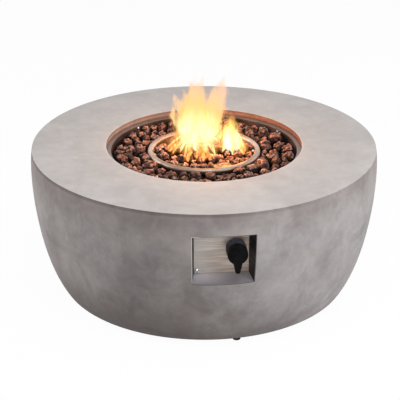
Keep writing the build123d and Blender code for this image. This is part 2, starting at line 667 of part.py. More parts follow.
def thermocouple_nut():
    """Nut that holds the thermocouple lead in the magnet boss."""
    bottom = MAGNET_LENGTH + FIT
    nut = hex_bar(PROBE_NUT_FLAT, bottom, bottom + PROBE_NUT_LENGTH)
    nut -= rod(PROBE_THREAD + FIT, bottom, MAGNET_LENGTH + PROBE_THREAD_LENGTH + FIT)
    nut -= rod(PROBE_LEAD_RADIUS + FIT, bottom, bottom + PROBE_NUT_LENGTH)
    return KNOB * magnet_place() * nut


def piezo_igniter():
    """Spark block on top of the valve, with the terminal for the lead behind."""
    case = block(PIEZO_WIDTH, PIEZO_TALL, VALVE_BACK, VALVE_BACK + PIEZO_DEPTH)
    case = fillet(case.edges().filter_by(Axis.Z), PIEZO_ROUND)
    case += rod(TERMINAL_RADIUS, VALVE_BACK - TERMINAL_LENGTH, VALVE_BACK)
    return KNOB * Pos(0, VALVE_TALL / 2 + PIEZO_TALL / 2, 0) * case


def lead(points, radius, bend):
    """A round lead along straight runs and arcs."""
    path = FilletPolyline(points, radius=bend)
    start = Vector(points[0])
    return sweep(Plane(origin=start, z_dir=Vector(points[1]) - start) * Circle(radius), path=path)


def igniter_lead():
    """Lead from the piezo terminal, under the pan and up to the spark pin."""
    start = knob_point(0, VALVE_TALL / 2 + PIEZO_TALL / 2, VALVE_BACK - TERMINAL_LENGTH - FIT)
    level = PAN_FLOOR_Z - LEAD_LEVEL
    end = pilot_point(SHELF_SPACING / 2, -shelf_reach(), SHELF_Z - INSULATOR_BELOW - SPARK_BELOW - FIT)
    run = start + Vector(0, LEAD_RUN, 0)
    approach = pilot_point(SHELF_SPACING / 2, -shelf_reach() - LEAD_RUN, level)
    return lead([start, run, approach, (end.X, end.Y, level), end], LEAD_RADIUS, LEAD_BEND)


def thermocouple_lead():
    """Lead from the safety magnet, under the pan and up to the probe."""
    start = (KNOB * magnet_place() * Pos(0, 0, MAGNET_LENGTH + PROBE_THREAD_LENGTH + FIT)).position
    level = PAN_FLOOR_Z - PROBE_LEAD_LEVEL
    end = pilot_point(-SHELF_SPACING / 2, -shelf_reach(), SHELF_Z - PROBE_BELOW - FIT)
    side = start - Vector(PROBE_LEAD_RUN, 0, 0)
    back = Vector(side.X, side.Y + PROBE_LEAD_TURN, level)
    return lead([start, side, back, (end.X, end.Y, level), end], PROBE_LEAD_RADIUS, LEAD_BEND)


def bracket_offset():
    """Bracket upright towards the middle from the hood's centre."""
    return HOOD_DEPTH / 2 - HOOD_SHEET - BRACKET_SHEET


def shelf_reach():
    """Middle of the shelf tab outwards from the hood's centre."""
    return BRACKET_TAB / 2 - bracket_offset()


def tab_reach():
    """Middle of the foot tab towards the middle from the hood's centre."""
    return bracket_offset() + BRACKET_TAB / 2


def igniter_bracket():
    """Bent strip from the pan floor up to the hood, with a shelf for the spark pin and the probe."""
    top = HOOD_Z - HOOD_SHEET
    upright = Pos(0, bracket_offset() + BRACKET_SHEET / 2, 0)
    strip = upright * block(BRACKET_WIDTH, BRACKET_SHEET, PAN_FLOOR_Z, top)
    foot = block(BRACKET_WIDTH, BRACKET_TAB, PAN_FLOOR_Z, PAN_FLOOR_Z + BRACKET_SHEET)
    strip += Pos(0, tab_reach(), 0) * foot
    shelf = block(BRACKET_WIDTH, BRACKET_TAB, SHELF_Z, SHELF_TOP_Z)
    strip += Pos(0, -shelf_reach(), 0) * shelf
    strip += Pos(0, -shelf_reach(), 0) * block(BRACKET_WIDTH, BRACKET_TAB, top - BRACKET_SHEET, top)
    strip -= Pos(0, tab_reach(), 0) * rod(TAB_SCREW_RADIUS + FIT, PAN_FLOOR_Z, SHELF_Z)
    insulator = Pos(SHELF_SPACING / 2, -shelf_reach(), 0)
    probe = Pos(-SHELF_SPACING / 2, -shelf_reach(), 0)
    strip -= insulator * rod(INSULATOR_RADIUS + FIT, SHELF_Z, SHELF_TOP_Z)
    strip -= probe * rod(PROBE_RADIUS + FIT, SHELF_Z, SHELF_TOP_Z)
    return PILOT * strip


def bracket_screw():
    """Screw through the bracket's foot into the pan floor."""
    screw = domed_screw(TAB_SCREW_RADIUS, TAB_SCREW_LENGTH, TAB_HEAD_RADIUS, TAB_HEAD_HEIGHT)
    return PILOT * Pos(0, tab_reach(), PAN_FLOOR_Z + BRACKET_SHEET) * screw


def igniter_hood():
    """Bent cover over the spark pin and the probe."""
    hood = block(HOOD_WIDTH, HOOD_DEPTH, HOOD_Z - HOOD_SKIRT, HOOD_Z)
    inside = HOOD_WIDTH - 2 * HOOD_SHEET
    return PILOT * (hood - block(inside, 2 * HOOD_DEPTH, HOOD_Z - HOOD_SKIRT, HOOD_Z - HOOD_SHEET))


def igniter_insulator():
    """Ceramic sleeve on the shelf."""
    sleeve = rod(INSULATOR_RADIUS, SHELF_Z - INSULATOR_BELOW, SHELF_TOP_Z + INSULATOR_ABOVE)
    sleeve += rod(INSULATOR_COLLAR, SHELF_TOP_Z, SHELF_TOP_Z + COLLAR_HEIGHT)
    sleeve -= rod(SPARK_RADIUS + FIT, SHELF_Z - INSULATOR_BELOW, SHELF_TOP_Z + INSULATOR_ABOVE)
    return PILOT * Pos(SHELF_SPACING / 2, -shelf_reach(), 0) * sleeve


def igniter_pin():
    """Spark pin through the ceramic sleeve."""
    bottom = SHELF_Z - INSULATOR_BELOW - SPARK_BELOW
    top = SHELF_TOP_Z + INSULATOR_ABOVE + SPARK_ABOVE
    return PILOT * Pos(SHELF_SPACING / 2, -shelf_reach(), 0) * rod(SPARK_RADIUS, bottom, top)


def thermocouple_probe():
    """Probe on the shelf, its round tip under the hood."""
    tip = SHELF_TOP_Z + PROBE_ABOVE
    probe = rod(PROBE_RADIUS, SHELF_Z - PROBE_BELOW, tip)
    probe = fillet(probe.edges().group_by(Axis.Z)[-1], PROBE_ROUND)
    probe += rod(INSULATOR_COLLAR, SHELF_TOP_Z, SHELF_TOP_Z + COLLAR_HEIGHT)
    return PILOT * Pos(-SHELF_SPACING / 2, -shelf_reach(), 0) * probe


def lava_rock_bed():
    """The buried rock layers as one mass that fills the pan round the burner and the pilot."""
    bed = rod(PAN_RADIUS - BED_SIDE, PAN_FLOOR_Z + FIT, BED_TOP_Z)
    bed = fillet(bed.edges().group_by(Axis.Z)[0], PAN_BEND)
    bed -= rod(BED_HOLE, PAN_FLOOR_Z, BED_TOP_Z)
    width = HOOD_WIDTH + 2 * POCKET_MARGIN
    depth = HOOD_DEPTH + 2 * BRACKET_TAB + 2 * POCKET_MARGIN
    return bed - PILOT * block(width, depth, PAN_FLOOR_Z, BED_TOP_Z)


def scattered(inner, outer, clear, rng):
    """Middles and rooms of loose rocks between two radii, away from the cross tube and from each other."""
    seeds = []
    for _ in range(ROCK_TRIES):
        room = rng.uniform(ROCK_ROOM_LEAST, ROCK_ROOM_MOST)
        snug = room * ROCK_SNUG
        radius = math.sqrt(rng.uniform((inner + snug) ** 2, (outer - snug) ** 2))
        turn = rng.uniform(0, 2 * math.pi)
        height = BED_TOP_Z + ROCK_RISE + rng.uniform(0, ROCK_STEP)
        middle = Vector(radius * math.cos(turn), radius * math.sin(turn), height)
        spare = [level_way(middle, other).length - room - other_room for other, other_room in seeds]
        if abs(middle.Y) > clear and min(spare, default=0) >= 0:
            seeds.append((middle, room))
    return seeds


def level_way(start, end):
    """The level part of the way from one point to another."""
    return Vector(end.X - start.X, end.Y - start.Y, 0)


def on_cross_tube(rng):
    """Middles and rooms of the rocks that lie along the top of the cross tube and the hub."""
    end = RING_RADIUS - RING_TUBE - ROCK_SHY - ROCK_SNUG * TUBE_ROCK_ROOM
    count = round(end / TUBE_ROCK_ROOM)
    seeds = []
    for index in range(count + 1):
        x = end * (2 * index / count - 1)
        y = rng.uniform(-TUBE_ROCK_SWAY, TUBE_ROCK_SWAY)
        height = (rest_level(Vector(x, y, HEIGHT)) + ROCK_TOP_Z) / 2
        seeds.append((Vector(x, y, height), TUBE_ROCK_ROOM))
    return seeds


def rest_level(seed):
    """What a rock with this middle lies on: the bed, the cross tube or the hub."""
    if abs(seed.Y) > TUBE_ROCK_SWAY or seed.Z < CROSS_TOP_Z:
        return BED_TOP_Z
    if abs(seed.X) < HUB_RADIUS + TUBE_ROCK_ROOM * ROCK_SWELL:
        return HUB_TOP_Z + FIT
    return CROSS_TOP_Z + FIT


def hood_wall(seed):
    """The plane of the pilot hood's box that a rock must stay behind, or None if it stands inside."""
    local = PILOT.to_local_coords(seed)
    half_width = HOOD_WIDTH / 2 + POCKET_MARGIN
    half_depth = HOOD_DEPTH / 2 + POCKET_MARGIN
    beside = abs(local.X) - half_width
    before = abs(local.Y) - half_depth
    if max(beside, before) < POCKET_MARGIN:
        return None
    if beside > before:
        out = PILOT.x_dir * math.copysign(1, local.X)
        return -out, -out.dot(PILOT.origin) - half_width
    out = PILOT.y_dir * math.copysign(1, local.Y)
    return -out, -out.dot(PILOT.origin) - half_depth


def rock(seed, room, walls, rng):
    """A stone on a small flat base, with random corners, each cut back to the first wall in its way."""
    twist = rng.uniform(0, 2 * math.pi)
    lie = rng.uniform(0, 2 * math.pi)
    long_way = Vector(math.cos(lie), math.sin(lie), 0)
    corners = []
    for index in range(ROCK_CORNERS):
        height = 1 - 2 * (index + 0.5) / ROCK_CORNERS
        ring = math.sqrt(1 - height * height)
        turn = twist + index * GOLDEN_TURN
        way = Vector(ring * math.cos(turn), ring * math.sin(turn), height)
        reach = room * ROCK_SWELL * (1 + ROCK_STRETCH * abs(way.dot(long_way)))
        reach *= rng.uniform(1 - ROCK_ROUGH, 1 + ROCK_ROUGH)
        for normal, limit in walls:
            along = normal.dot(way)
            if along > 0:
                reach = min(reach, (limit - normal.dot(seed)) / along)
        corners.append(seed + way * reach)
    base = Vector(seed.X, seed.Y, rest_level(seed))
    for place in PolarLocations(ROCK_BASE, ROCK_BASE_CORNERS):
        corners.append(base + place.position)
    return ConvexPolyhedron(corners)


def rock_layer(seeds, side_walls, rng):
    """One stone for each seed, kept clear of its neighbours and of the given walls."""
    stones = []
    for seed, room in seeds:
        walls = [(Vector(0, 0, -1), -rest_level(seed)), (Vector(0, 0, 1), ROCK_TOP_Z)]
        walls += side_walls(seed)
        for other, other_room in seeds:
            apart = level_way(seed, other)
            if 0 < apart.length < ROCK_REACH:
                normal = apart.normalized()
                share = apart.length * room / (room + other_room)
                walls.append((normal, normal.dot(seed) + share - ROCK_GAP / 2))
        stones.append(rock(seed, room, walls, rng))
    return group(stones)


def outer_walls(seed):
    """Walls for a rock outside the ring: the pan and the ring tube."""
    out = Vector(seed.X, seed.Y, 0).normalized()
    return [(out, rock_field()), (-out, -RING_RADIUS - RING_TUBE - ROCK_GAP)]


def inner_walls(seed):
    """Walls for a rock inside the ring: the ring tube, the cross tube's hub and the pilot hood."""
    out = Vector(seed.X, seed.Y, 0).normalized()
    walls = [(out, RING_RADIUS - RING_TUBE - ROCK_SHY), hood_wall(seed)]
    if rest_level(seed) == BED_TOP_Z:
        side = math.copysign(1, seed.Y)
        walls.append((Vector(0, -side, 0), -HUB_RADIUS - ROCK_GAP))
    return walls


def rock_field():
    """Radius that the outermost rocks reach, inside the pan screws' heads."""
    return PAN_RADIUS - PAN_HEAD_HEIGHT - ROCK_SHY


def lava_rocks():
    """The visible rocks outside and inside the ring."""
    rng = random.Random(ROCK_SEED)
    outside = scattered(RING_RADIUS + RING_TUBE + ROCK_GAP, rock_field(), 0, rng)
    beside = scattered(0, RING_RADIUS - RING_TUBE - ROCK_SHY, HUB_RADIUS + ROCK_GAP + ROCK_BASE, rng)
    inside = on_cross_tube(rng) + [(seed, room) for seed, room in beside if hood_wall(seed)]
    return rock_layer(outside, outer_walls, rng), rock_layer(inside, inner_walls, rng)


def feet():
    """Rubber feet under the bottom rim."""
    foot = Cone(FOOT_RADIUS - FOOT_TAPER, FOOT_RADIUS, FOOT_HEIGHT, align=UPRIGHT)
    foot -= rod(FOOT_RECESS_RADIUS, 0, FOOT_RECESS_DEPTH)
    foot -= rod(FOOT_SCREW_RADIUS + FIT, 0, FOOT_HEIGHT)
    return group(place * foot for place in foot_places())


def foot_screws():
    """A screw up through each foot into its insert."""
    screw = domed_screw(FOOT_SCREW_RADIUS, FOOT_SCREW_LENGTH, FOOT_HEAD_RADIUS, FOOT_HEAD_HEIGHT)
    seated = Pos(0, 0, FOOT_RECESS_DEPTH) * Rot(180, 0, 0) * screw
    return group(place * seated for place in foot_places())


def foot_inserts():
    """Brass bush in the bottom rim above each foot."""
    bush = rod(INSERT_RADIUS, FOOT_HEIGHT, FOOT_HEIGHT + INSERT_LENGTH)
    bush -= rod(FOOT_SCREW_RADIUS + FIT, FOOT_HEIGHT, FOOT_HEIGHT + INSERT_LENGTH)
    return group(place * bush for place in foot_places())


rocks_outer, rocks_inner = lava_rocks()
NODES = {
    "concrete_shell": concrete_shell(),
    "fire_pan": fire_pan(),
    "pan_screws": pan_screws(),
    "burner": burner(),
    "burner_locknut": burner_locknut(),
    "air_mixer": air_mixer(),
    "gas_orifice": gas_orifice(),
    "gas_pipe": gas_pipe(),
    "pipe_nuts": pipe_nuts(),
    "recess_frame": recess_frame(),
    "control_plate": control_plate(),
    "plate_screws": plate_screws(),
    "plate_washers": plate_washers(),
    "plate_nuts": plate_nuts(),
    "knob_bezel": knob_bezel(),
    "control_knob": control_knob(),
    "valve_stem": valve_stem(),
    "valve_plunger": valve_plunger(),
    "valve_body": valve_body(),
    "valve_nut": valve_nut(),
    "gas_inlet": gas_inlet(),
    "thermocouple_nut": thermocouple_nut(),
    "piezo_igniter": piezo_igniter(),
    "igniter_lead": igniter_lead(),
    "thermocouple_lead": thermocouple_lead(),
    "igniter_bracket": igniter_bracket(),
    "bracket_screw": bracket_screw(),
    "igniter_hood": igniter_hood(),
    "igniter_insulator": igniter_insulator(),
    "igniter_pin": igniter_pin(),
    "thermocouple_probe": thermocouple_probe(),
    "lava_rock_bed": lava_rock_bed(),
    "lava_rocks_outer": rocks_outer,
    "lava_rocks_inner": rocks_inner,
    "feet": feet(),
    "foot_screws": foot_screws(),
    "foot_inserts": foot_inserts(),
}
for name, shape in NODES.items():
    export_step(shape, f"parts/{name}.step")
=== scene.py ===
"""Looks of the propane fire pit: cast concrete, steel, lava rock, the lit flame, studio light and camera."""

import math
import random

import bmesh
import bpy
import numpy as np
from mathutils import Matrix, Vector, noise


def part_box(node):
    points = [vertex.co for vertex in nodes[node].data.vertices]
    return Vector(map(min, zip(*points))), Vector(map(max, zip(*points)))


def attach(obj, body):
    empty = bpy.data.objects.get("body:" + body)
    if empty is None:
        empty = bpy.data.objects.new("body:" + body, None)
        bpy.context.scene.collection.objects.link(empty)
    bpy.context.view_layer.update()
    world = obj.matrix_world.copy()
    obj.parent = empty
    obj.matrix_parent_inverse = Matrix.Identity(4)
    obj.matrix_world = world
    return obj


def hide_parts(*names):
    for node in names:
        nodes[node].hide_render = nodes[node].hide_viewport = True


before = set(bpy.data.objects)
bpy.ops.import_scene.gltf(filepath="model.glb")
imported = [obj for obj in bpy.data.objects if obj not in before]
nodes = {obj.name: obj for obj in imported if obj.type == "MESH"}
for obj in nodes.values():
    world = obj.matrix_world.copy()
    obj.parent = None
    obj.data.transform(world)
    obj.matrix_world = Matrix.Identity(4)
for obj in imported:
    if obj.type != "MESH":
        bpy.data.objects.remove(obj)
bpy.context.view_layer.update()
scene = bpy.context.scene

# Camera, fitted to the photograph, in metres and degrees where the name doesn't say pixels
FOCAL_PIXELS = 1370.6
IMAGE_PIXELS = 400
SENSOR = 36.0  # width in millimetres
PITCH = 24.12
AZIMUTH = -6.0
DISTANCE = 3.632
AIM_SIDE = -0.0105
AIM_DOWN = -0.1509

# Studio light: each softbox has a name, a place, the point it aims at, width and height, and watts
SOFTBOXES = (
    ("top", (0.35, -1.1, 2.95), (0, 0, 0.3), (2.2, 2.2), 71.0),
    ("left", (-2.6, 0.5, 1.2), (0, 0, 0.2), (1.4, 1.6), 36.0),
    ("right", (2.6, 0.6, 1.2), (0, 0, 0.2), (1.4, 1.6), 15.0),
    ("front", (2.2, -2.5, 1.4), (0, 0, 0.25), (1.6, 1.3), 37.0),
)
WORLD_LIGHT = 0.16
FLOOR_HALF = 12.0
FLOOR_GLOW = 1.03
FLOOR_WHITENESS = 0.94  # the rest of the floor's colour is its shaded grey

# Places in the frame that the finishes and the camera follow
DECK_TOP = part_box("concrete_shell")[1].z
FLANGE_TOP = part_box("fire_pan")[1].z
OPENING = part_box("fire_pan")[1].x
BURNER_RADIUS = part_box("burner")[1].x
FRAME_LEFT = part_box("recess_frame")[0].x
FRAME_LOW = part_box("recess_frame")[0].z
PLATE_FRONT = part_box("control_plate")[0].y
KNOB_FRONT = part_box("control_knob")[0].y

# Which finish each CAD node takes
FINISHES = {
    "concrete": ["concrete_shell"],
    "pan_paint": ["fire_pan"],
    "burner_steel": ["burner"],
    "pilot_steel": ["igniter_bracket", "igniter_hood"],
    "plate_steel": ["control_plate"],
    "frame_steel": ["recess_frame"],
    "fastener_steel": [
        "pan_screws", "burner_locknut", "plate_screws", "plate_washers", "plate_nuts",
        "valve_nut", "bracket_screw", "igniter_pin", "foot_screws",
    ],
    "brass": [
        "gas_orifice", "pipe_nuts", "valve_stem", "valve_plunger", "gas_inlet",
        "thermocouple_nut", "foot_inserts",
    ],
    "valve_metal": ["air_mixer", "valve_body"],
    "pipe_metal": ["gas_pipe"],
    "knob_plastic": ["control_knob"],
    "black_plastic": ["piezo_igniter"],
    "bezel_plastic": ["knob_bezel"],
    "foot_rubber": ["feet"],
    "white_ceramic": ["igniter_insulator"],
    "lead_sleeve": ["igniter_lead"],
    "copper": ["thermocouple_lead", "thermocouple_probe"],
}


# Node helpers
def new_material(name):
    """A material with its node tree and main shader."""
    made = bpy.data.materials.new(name)
    made.use_nodes = True
    return made, made.node_tree, made.node_tree.nodes["Principled BSDF"]


def empty_material(name):
    """A material with an empty node tree."""
    made = bpy.data.materials.new(name)
    made.use_nodes = True
    made.node_tree.nodes.clear()
    return made, made.node_tree


def reopen(made):
    """The node tree, main shader and colour of a material that another one builds on."""
    tree = made.node_tree
    shader = tree.nodes["Principled BSDF"]
    return tree, shader, shader.inputs["Base Color"].links[0].from_socket


def end_with(tree, shader, kind, socket):
    """The output node of a tree."""
    end = tree.nodes.new(kind)
    tree.links.new(shader.outputs[0], end.inputs[socket])


def put(tree, socket, value):
    """Links a value that is a socket, and sets any other value on the socket."""
    if isinstance(value, bpy.types.NodeSocket):
        tree.links.new(value, socket)
    else:
        socket.default_value = value


def place(tree, scale=(1, 1, 1), shift=(0, 0, 0)):
    """Coordinates in metres, stretched and shifted."""
    where = tree.nodes.new("ShaderNodeTexCoord")
    mapping = tree.nodes.new("ShaderNodeMapping")
    mapping.inputs["Scale"].default_value = scale
    mapping.inputs["Location"].default_value = shift
    tree.links.new(where.outputs["Object"], mapping.inputs["Vector"])
    return mapping.outputs["Vector"]


def clouds(tree, where, scale, detail=3.0, roughness=0.5, distortion=0.0):
    """Soft random values round 0.5."""
    node = tree.nodes.new("ShaderNodeTexNoise")
    node.inputs["Scale"].default_value = scale
    node.inputs["Detail"].default_value = detail
    node.inputs["Roughness"].default_value = roughness
    node.inputs["Distortion"].default_value = distortion
    tree.links.new(where, node.inputs["Vector"])
    return node.outputs["Fac"]


def cells(tree, where, scale):
    """Distance to the nearest of many random points."""
    node = tree.nodes.new("ShaderNodeTexVoronoi")
    node.inputs["Scale"].default_value = scale
    tree.links.new(where, node.inputs["Vector"])
    return node.outputs["Distance"]


def spread(tree, value, low, high, to_low=0.0, to_high=1.0):
    """A value stretched smoothly from one range to another, and held inside it."""
    node = tree.nodes.new("ShaderNodeMapRange")
    node.interpolation_type = "SMOOTHSTEP"
    put(tree, node.inputs["Value"], value)
    for name, number in zip(("From Min", "From Max", "To Min", "To Max"), (low, high, to_low, to_high)):
        node.inputs[name].default_value = number
    return node.outputs["Result"]


def sums(tree, how, first, second):
    """One arithmetic step."""
    node = tree.nodes.new("ShaderNodeMath")
    node.operation = how
    put(tree, node.inputs[0], first)
    put(tree, node.inputs[1], second)
    return node.outputs[0]


def plus(tree, first, second):
    """Two values added."""
    return sums(tree, "ADD", first, second)


def times(tree, first, second):
    """Two values multiplied."""
    return sums(tree, "MULTIPLY", first, second)


def tones(tree, value, stops):
    """Colours along a value, given as (position, colour) pairs."""
    node = tree.nodes.new("ShaderNodeValToRGB")
    put(tree, node.inputs["Fac"], value)
    while len(node.color_ramp.elements) < len(stops):
        node.color_ramp.elements.new(0.5)
    for element, (position, colour) in zip(node.color_ramp.elements, stops):
        element.position = position
        element.color = (*colour, 1.0)
    return node.outputs["Color"]


def between(tree, value, low, high, first, second):
    """One colour that turns into another as a value goes from low to high."""
    return tones(tree, spread(tree, value, low, high), [(0.0, first), (1.0, second)])


def blend(tree, share, first, second, how="MIX"):
    """Two colours mixed."""
    node = tree.nodes.new("ShaderNodeMix")
    node.data_type = "RGBA"
    node.blend_type = how
    put(tree, node.inputs[0], share)
    for socket, colour in ((node.inputs[6], first), (node.inputs[7], second)):
        put(tree, socket, colour if isinstance(colour, bpy.types.NodeSocket) else (*colour, 1.0))
    return node.outputs[2]


def tint(tree, base, colour, share=1.0):
    """A colour multiplied by another, in full or in part."""
    return blend(tree, share, base, colour, "MULTIPLY")


def axes(tree, vector):
    """The x, y and z of a vector."""
    node = tree.nodes.new("ShaderNodeSeparateXYZ")
    tree.links.new(vector, node.inputs[0])
    return node.outputs["X"], node.outputs["Y"], node.outputs["Z"]


def facing(tree):
    """The x, y and z of the surface's direction."""
    return axes(tree, tree.nodes.new("ShaderNodeNewGeometry").outputs["Normal"])


def from_axis(tree):
    """Distance from the pit's upright middle line."""
    node = tree.nodes.new("ShaderNodeVectorMath")
    node.operation = "LENGTH"
    tree.links.new(place(tree, scale=(1, 1, 0)), node.inputs[0])
    return node.outputs["Value"]


def shaded_corners(tree, distance):
    """From 0 in tight corners to 1 in the open."""
    node = tree.nodes.new("ShaderNodeAmbientOcclusion")
    node.inputs["Distance"].default_value = distance
    return node.outputs["AO"]


def seen(tree):
    """1 for rays that come from the camera, a mirror or glass, and 0 for those that only carry light."""
    rays = tree.nodes.new("ShaderNodeLightPath")
    mirrored = sums(tree, "MAXIMUM", rays.outputs["Is Camera Ray"], rays.outputs["Is Glossy Ray"])
    return sums(tree, "MAXIMUM", mirrored, rays.outputs["Is Transmission Ray"])


def bumps(tree, shader, layers):
    """Surface relief from (height, depth in metres) pairs."""
    normal = None
    for height, depth in layers:
        node = tree.nodes.new("ShaderNodeBump")
        node.inputs["Distance"].default_value = depth
        tree.links.new(height, node.inputs["Height"])
        if normal:
            tree.links.new(normal, node.inputs["Normal"])
        normal = node.outputs["Normal"]
    tree.links.new(normal, shader.inputs["Normal"])


# Materials
def concrete_cast(tree, patch, grain, up):
    """The colour of the cast: clouds that are fainter on the flat deck, upright streaks and fine grain."""
    wide = clouds(tree, place(tree), 4.5, 4.0, 0.55, 0.4)
    mottle = clouds(tree, place(tree, shift=(5, 2, 8)), 30.0, 5.0, 0.65, 0.8)
    streak = clouds(tree, place(tree, scale=(1, 1, 0.16)), 34.0, 3.0)
    uneven = spread(tree, up, 0.5, 0.95, 1.0, 0.4)
    cloudy = between(tree, wide, 0.3, 0.7, (0.385, 0.362, 0.357), (0.515, 0.493, 0.487))
    base = blend(tree, uneven, (0.476, 0.46, 0.452), cloudy)
    patches = tones(tree, spread(tree, patch, 0.32, 0.68), [
        (0.0, (0.85, 0.825, 0.822)),
        (0.5, (1, 1, 1)),
        (1.0, (1.08, 1.065, 1.055)),
    ])
    base = tint(tree, base, patches, uneven)
    spots = between(tree, mottle, 0.32, 0.68, (0.93, 0.918, 0.912), (1.055, 1.055, 1.06))
    base = tint(tree, base, spots, uneven)
    lines = between(tree, streak, 0.3, 0.7, (0.93, 0.93, 0.935), (1.03, 1.03, 1.03))
    base = tint(tree, base, lines, 0.6)
    specks = tones(tree, grain, [(0.3, (0.9, 0.9, 0.9)), (0.7, (1.06, 1.06, 1.06))])
    return tint(tree, base, specks, 0.5)


def concrete_wall(tree, base, patch, side):
    """Painted light and shade on the wall: painted shade at its foot that fades to the right, a painted pool
    of light that makes its right part paler, warm-tinted painted shade on its left part, and painted shade
    under the deck's edge with a darker painted shade line below it.
    """
    x, _, z = axes(tree, place(tree))
    # Painted shade: darker towards the foot of the wall, fading out to the right.
    height = plus(tree, z, times(tree, patch, 0.12))
    foot = between(tree, height, 0.05, 0.27, (0.7, 0.668, 0.658), (1, 1, 1))
    base = tint(tree, base, foot, spread(tree, x, 0.05, 0.28, 1.0, 0.05))
    # Painted light: a paler stretch on the right of the wall.
    right = times(tree, spread(tree, x, 0.04, 0.2), spread(tree, x, 0.25, 0.36, 1.0, 0.0))
    base = tint(tree, base, (1.11, 1.1, 1.11), times(tree, right, side))
    # Painted shade, tinted warm, on the left of the wall.
    left = spread(tree, x, -0.1, 0.15, 1.0, 0.0)
    base = tint(tree, base, (0.935, 0.9, 0.9), times(tree, left, side))
    # Painted shade under the deck's edge.
    under_deck = spread(tree, z, DECK_TOP - 0.09, DECK_TOP - 0.002)
    base = tint(tree, base, (0.79, 0.755, 0.75), times(tree, under_deck, side))
    # A darker painted shade line just under the deck's edge, fainter to the right.
    line = spread(tree, z, DECK_TOP - 0.011, DECK_TOP - 0.004)
    line = times(tree, line, spread(tree, x, -0.1, 0.3, 1.0, 0.2))
    return tint(tree, base, (0.7, 0.67, 0.66), times(tree, line, side))


def concrete_opening(tree, base, side):
    """A painted highlight on the edge of the opening, and painted shade and painted firelight on its inner
    wall, darker and warmer to the right, with a painted shadow in the gap above the pan.
    """
    x, _, z = axes(tree, place(tree))
    radius = from_axis(tree)
    # Painted highlight along the edge of the opening.
    lip = between(tree, radius, OPENING, OPENING + 0.008, (1.12, 1.1, 1.09), (1, 1, 1))
    base = tint(tree, base, lip)
    # Painted shade and painted firelight on the inner wall: grey on the left, darker and red-brown to the
    # right.
    tone_and_painted_light = tones(tree, spread(tree, x, -0.25, 0.22), [
        (0.0, (0.66, 0.64, 0.64)),
        (0.5, (0.58, 0.44, 0.4)),
        (1.0, (0.53, 0.3, 0.21)),
    ])
    # Painted shadow in the gap just above the pan.
    painted_gap_shadow = between(tree, z, FLANGE_TOP, FLANGE_TOP + 0.007, (0.4, 0.36, 0.34), (1, 1, 1))
    tone_and_painted_light = tint(tree, tone_and_painted_light, painted_gap_shadow)
    inner = spread(tree, radius, OPENING + 0.001, OPENING + 0.003, 1.0, 0.0)
    return tint(tree, base, tone_and_painted_light, times(tree, inner, side))


def concrete():
    """Smooth cast concrete: soft clouds, fine grain, painted shade at the foot, and painted light and shade
    on the wall and round the opening.
    """
    made, tree, shader = new_material("concrete")
    patch = clouds(tree, place(tree, shift=(3, 7, 1)), 11.0, 5.0, 0.6, 0.6)
    grain = clouds(tree, place(tree), 420.0, 2.0, 0.6)
    pits = spread(tree, cells(tree, place(tree), 150.0), 0.0, 0.16)
    up = facing(tree)[2]
    side = spread(tree, up, 0.3, 0.6, 1.0, 0.0)
    base = concrete_cast(tree, patch, grain, up)
    base = concrete_wall(tree, base, patch, side)
    put(tree, shader.inputs["Base Color"], concrete_opening(tree, base, side))
    put(tree, shader.inputs["Roughness"], spread(tree, patch, 0.25, 0.75, 0.66, 0.86))
    shader.inputs["Specular IOR Level"].default_value = 0.3
    bumps(tree, shader, [(patch, 0.0016), (grain, 0.0003), (pits, 0.0002)])
    return made


def metal(name, colour, dark, roughness, stretch=(1, 1, 1), scale=90.0, streaks=0.00006):
    """Metal whose colour and gloss vary along its brushing."""
    made, tree, shader = new_material(name)
    wide = clouds(tree, place(tree), 22.0, 3.0, 0.55, 0.5)
    lines = clouds(tree, place(tree, scale=stretch), scale, 4.0, 0.65)
    tone = times(tree, plus(tree, wide, lines), 0.5)
    put(tree, shader.inputs["Base Color"], tones(tree, tone, [(0.32, dark), (0.66, colour)]))
    put(tree, shader.inputs["Roughness"], spread(tree, lines, 0.3, 0.7, roughness * 0.8, roughness * 1.25))
    shader.inputs["Metallic"].default_value = 1.0
    bumps(tree, shader, [(lines, streaks)])
    return made


def burner_steel():
    """Steel tinted by the fire, with painted shade at the front, painted light in the middle and painted
    shade at the back of the ring, blackened inside the ring where the tube lies among the rocks.
    """
    made = metal("burner_steel", (0.6, 0.5, 0.43), (0.38, 0.29, 0.235), 0.46, scale=60.0)
    tree, shader, steel = reopen(made)
    smoke = clouds(tree, place(tree), 45.0, 4.0, 0.6)
    edge = plus(tree, from_axis(tree), times(tree, smoke, 0.012))
    clean = spread(tree, edge, BURNER_RADIUS - 0.0223, BURNER_RADIUS - 0.0103)
    front_to_back = axes(tree, place(tree))[1]
    # Painted light and shade from front to back: darkest at the front, lightest in the middle.
    painted_light_along_ring = tones(tree, spread(tree, front_to_back, -BURNER_RADIUS, BURNER_RADIUS), [
        (0.0, (0.48, 0.45, 0.43)),
        (0.5, (1.45, 1.4, 1.38)),
        (1.0, (0.8, 0.74, 0.7)),
    ])
    steel = tint(tree, steel, painted_light_along_ring)
    put(tree, shader.inputs["Base Color"], blend(tree, clean, (0.045, 0.027, 0.021), steel))
    put(tree, shader.inputs["Roughness"], spread(tree, clean, 0.0, 1.0, 0.8, 0.46))
    return made


def pilot_steel():
    """Sheet steel browned by the fire, with sooty patches."""
    made = metal("pilot_steel", (0.27, 0.215, 0.205), (0.14, 0.11, 0.1), 0.5, (0.3, 1, 1), 150.0)
    tree, shader, steel = reopen(made)
    smoke = clouds(tree, place(tree, scale=(0.5, 1, 1), shift=(3, 1, 2)), 300.0, 3.0, 0.6)
    clean = spread(tree, smoke, 0.42, 0.56)
    put(tree, shader.inputs["Base Color"], blend(tree, clean, (0.025, 0.017, 0.013), steel))
    return made


